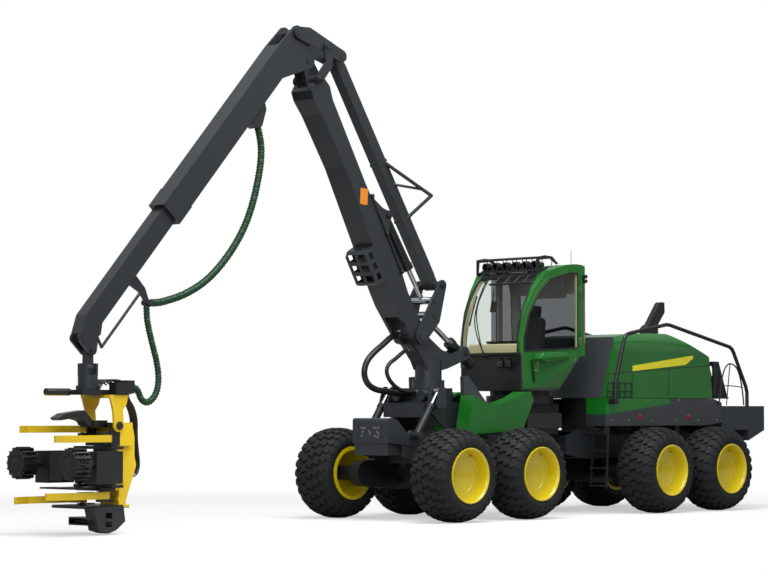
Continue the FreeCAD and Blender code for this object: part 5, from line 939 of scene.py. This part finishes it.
def both_sides(runs):
    """The runs of a left-hand tube and their mirror image on the right."""
    return list(runs) + [([(x, -y, z) for x, y, z in points], radius) for points, radius in runs]


HOOD_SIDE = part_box("hood")[1][1]
PANEL_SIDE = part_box("side_panels")[1][1]
guard = [([(-3.39, 0.940, z), (-3.69, 0.952, z), (-3.99, 0.940, z)], 0.007) for z in (1.81, 1.90, 2.03)]
guard += [([(x, 0.940, 1.805), (x, 0.952, 1.92), (x, 0.940, 2.035)], 0.007)
          for x in (-3.39, -3.54, -3.69, -3.84, -3.99)]
tubes("hood_lamp_guards", both_sides(guard), black_paint, "hood")
SEAM_Y = HOOD_SIDE + 0.001
SEAM_RADIUS = 0.004
seams = [([(x, SEAM_Y, z) for z in (1.80, 2.05, top)], SEAM_RADIUS)
         for x, top in ((-4.02, 2.20), (-4.95, 2.27))]
seams.append(([(x, SEAM_Y, z) for x, z in ((-3.40, 2.17), (-4.95, 2.27), (-6.05, 2.33))],
              SEAM_RADIUS))
tubes("hood_seams", both_sides(seams), seal_rubber, "hood")
bolts("panel_bolts", [(x, side * (PANEL_SIDE - 0.001), z) for side in (-1, 1) for x, z in
                      ((-3.50, 1.45), (-3.90, 1.45), (-4.50, 1.44), (-5.10, 1.44), (-5.70, 1.44),
                       (-6.20, 1.45), (-3.60, 1.74), (-4.40, 1.76), (-5.20, 1.77), (-6.00, 1.77))],
      1, 0.012, "rear_frame")
red_lens, tree, place = new_material("moulded red reflector")
surface(tree, Base_Color=mixed(tree, noise(tree, place, 60.0), linear("#B4121A"), linear("#8E0C12")),
        Roughness=0.2)
bm = bmesh.new()
for side in (-1, 1):
    for x in (-4.18, -5.434):
        cylinder(bm, (x, side * (PANEL_SIDE - 0.004), 1.50), (x, side * (PANEL_SIDE + 0.008), 1.50),
                 0.038, 24, bevel=0.002)
piece("side_reflectors", closed(bm, "side_reflectors", red_lens), "rear_frame")
folding = [([(-6.25, 0.965, 1.69), (-6.312, 0.965, 2.18), (-6.535, 0.965, 2.42), (-6.865, 0.965, 2.237),
             (-6.93, 0.965, 1.69)], 0.012),
           ([(-6.45, 0.965, 1.69), (-6.50, 0.965, 2.05), (-6.56, 0.965, 2.38)], 0.009),
           ([(-6.29, 0.965, 2.00), (-6.60, 0.965, 2.02), (-6.90, 0.965, 1.98)], 0.009)]
tubes("rear_step_frames", both_sides(folding), black_paint, "rear_frame")

# ---- crane pipes -------------------------------------------------------------------------
# Drawn steel hydraulic pipes laid along the boom and jib, painted with them and held to the
# steel by block clamps; short rubber hoses loop over the head's valve block.


def skin_at(name, x, z):
    """Where a CAD piece's left face lies at a point of its side view."""
    found, place, _, _ = cad_node[name].ray_cast(Vector((x, 2.0, z)), Vector((0, -1, 0)))
    return place.y if found else None


def pipe_run(name, node, start, end, radius, count=9):
    """A pipe down both sides of a box section, with a clamp at every other step."""
    spots = []
    for step in range(count):
        share = step / (count - 1)
        x = start[0] + share * (end[0] - start[0])
        z = start[1] + share * (end[1] - start[1])
        face = skin_at(node, x, z)
        if face is not None:
            spots.append((x, face, z))
    if len(spots) < 3:
        return
    widest = max(y for _, y, _ in spots)
    line = [(x, widest + radius + 0.004, z) for x, _, z in spots]
    tubes(name, both_sides([(line, radius)]), shaded_boom_paint, node)
    bm = bmesh.new()
    for x, y, z in spots[::2]:
        for side in (-1, 1):
            middle = (y + widest + 2 * radius + 0.008) / 2
            thick = widest + 2 * radius + 0.012 - y
            add_block(bm, Matrix.Translation((x, side * middle, z)) @ Matrix.Rotation(0.5, 4, "Y")
                      @ Matrix.Diagonal((4 * radius, thick, 0.05, 1)), bevel=0.004)
    piece(name + "_clamps", closed(bm, "clamps", black_paint), node)


pipe_run("boom_pipes", "main_boom", (0.46, 3.62), (1.70, 5.77), 0.013)
pipe_run("jib_pipes", "jib", (2.86, 6.02), (3.98, 4.76), 0.013, 7)
loops = []
for y in (-0.20, -0.12, -0.04, 0.06, 0.14, 0.22):
    loops.append(([(5.66, y, 1.93), (5.72, y, 1.985), (5.90, y * 0.7, 2.0), (6.02, y * 0.6, 1.95),
                   (6.05, y * 0.6, 1.86)], 0.012))
tubes("valve_hoses", loops, hose_rubber, "head_yoke")

# ---- work lamps --------------------------------------------------------------------------
# Six round halogen lamps along the roof's front edge: black plastic shells, a pressed
# reflector of bright aluminium, and a ribbed glass lens held by a rubber ring.
LAMP_RADIUS = 0.064
LAMP_FRONT_X = -2.180
lens_glass = clear_pane("ribbed lamp lens glass", "#F2F4F2", 0.2)
reflector = bare_metal("vacuum-plated reflector", "#DADCDC", "#E6E8E8", 0.05, 0.12, 60.0)
lamp_shell = grained("black moulded lamp shell", "#141516", "#1C1D1E", 0.45, 2.0, 0.1)
bowls, rings, lenses = bmesh.new(), bmesh.new(), bmesh.new()
for y in (-0.5, -0.3, -0.1, 0.1, 0.3, 0.5):
    mouth = Vector((LAMP_FRONT_X, y, 3.826))
    back = Vector((-0.993, 0, 0.119))
    cylinder(bowls, mouth + back * 0.001, mouth - back * 0.004, LAMP_RADIUS - 0.012, 24)
    cylinder(lenses, mouth - back * 0.005, mouth - back * 0.013, LAMP_RADIUS - 0.010, 24, 0.045)
    for index in range(16):
        turn = Matrix.Rotation(2 * math.pi * index / 16, 4, "X")
        add_block(rings, Matrix.Translation(mouth - back * 0.006) @ turn
                  @ Matrix.Translation((0, 0, LAMP_RADIUS - 0.004))
                  @ Matrix.Diagonal((0.016, 0.030, 0.010, 1)))
piece("lamp_reflectors", closed(bowls, "lamp_reflectors", reflector), "cab")
piece("lamp_rings", closed(rings, "lamp_rings", lamp_shell), "cab")
piece("lamp_lenses", closed(lenses, "lamp_lenses", lens_glass), "cab")

# ---- stage -------------------------------------------------------------------------------
# Pale seamless paper floor and white surroundings, with a broad soft light overhead.


def paper():
    """Matt white paper that the camera always sees as nearly white, darker where light is kept off."""
    material, tree, place = new_material("white seamless paper")
    tone = mixed(tree, noise(tree, place, 0.5), linear("#E4E4E4"), linear("#E6E6E6"))
    lit = add_node(tree, "ShaderNodeBsdfDiffuse", {"Color": tone})
    rays = add_node(tree, "ShaderNodeLightPath")
    glow = add_node(tree, "ShaderNodeEmission", {"Color": (1, 1, 1, 1),
                                                 "Strength": rays.outputs["Is Camera Ray"]})
    away = add_node(tree, "ShaderNodeVectorMath", {0: place}, operation="LENGTH").outputs["Value"]
    far = add_node(tree, "ShaderNodeMapRange", {"Value": away, "From Min": 7.5, "From Max": 14.0,
                                                "To Min": 0.5, "To Max": 1.0}).outputs["Result"]
    weak = add_node(tree, "ShaderNodeMixShader", {0: far, 1: lit.outputs["BSDF"],
                                                  2: glow.outputs["Emission"]})
    add_node(tree, "ShaderNodeOutputMaterial", {"Surface": weak.outputs["Shader"]})
    return material


bm = bmesh.new()
bmesh.ops.create_grid(bm, x_segments=1, y_segments=1, size=150.0)
floor = loose("floor", closed(bm, "floor", paper()))
floor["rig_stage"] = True

world = bpy.data.worlds.new("surroundings")
bpy.context.scene.world = world
world.use_nodes = True
tree = world.node_tree
tree.nodes.clear()
rays = add_node(tree, "ShaderNodeLightPath")
sky = add_node(tree, "ShaderNodeBackground", {"Color": linear("#F2F5F8"), "Strength": 0.5})
seen = add_node(tree, "ShaderNodeBackground", {"Color": (1, 1, 1, 1), "Strength": 1.0})
pick = add_node(tree, "ShaderNodeMixShader", {0: rays.outputs["Is Camera Ray"],
                                              1: sky.outputs["Background"],
                                              2: seen.outputs["Background"]})
add_node(tree, "ShaderNodeOutputWorld", {"Surface": pick.outputs["Shader"]})


def soft_light(name, place, aim, size, power):
    data = bpy.data.lights.new(name, "AREA")
    data.size = size
    data.energy = power
    lamp = bpy.data.objects.new(name, data)
    lamp.location = place
    lamp.rotation_euler = (Vector(aim) - Vector(place)).to_track_quat("-Z", "Y").to_euler()
    bpy.context.scene.collection.objects.link(lamp)
    lamp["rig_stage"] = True


soft_light("overhead", (2.0, 4.0, 15.0), (0, 0, 1.0), 12.0, 3000)
soft_light("left_front", (14.0, 10.0, 9.0), (0, 0, 2.5), 7.0, 900)

bpy.context.scene.view_settings.view_transform = "Standard"

# ---- box sizes ---------------------------------------------------------------------------
# The CAD's own box and the box of what is shown, in metres.


def shown_box():
    bpy.context.view_layer.update()
    graph = bpy.context.evaluated_depsgraph_get()
    low, high = [1e9] * 3, [-1e9] * 3
    for obj in bpy.context.scene.objects:
        if obj.type != "MESH" or obj.get("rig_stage") or obj.hide_render:
            continue
        mesh = obj.evaluated_get(graph).to_mesh()
        for vert in mesh.vertices:
            place = obj.matrix_world @ vert.co
            low = [min(a, b) for a, b in zip(low, place)]
            high = [max(a, b) for a, b in zip(high, place)]
    return [low, high]


{"cad": [list(cad_box[0]), list(cad_box[1])], "visual": shown_box()}
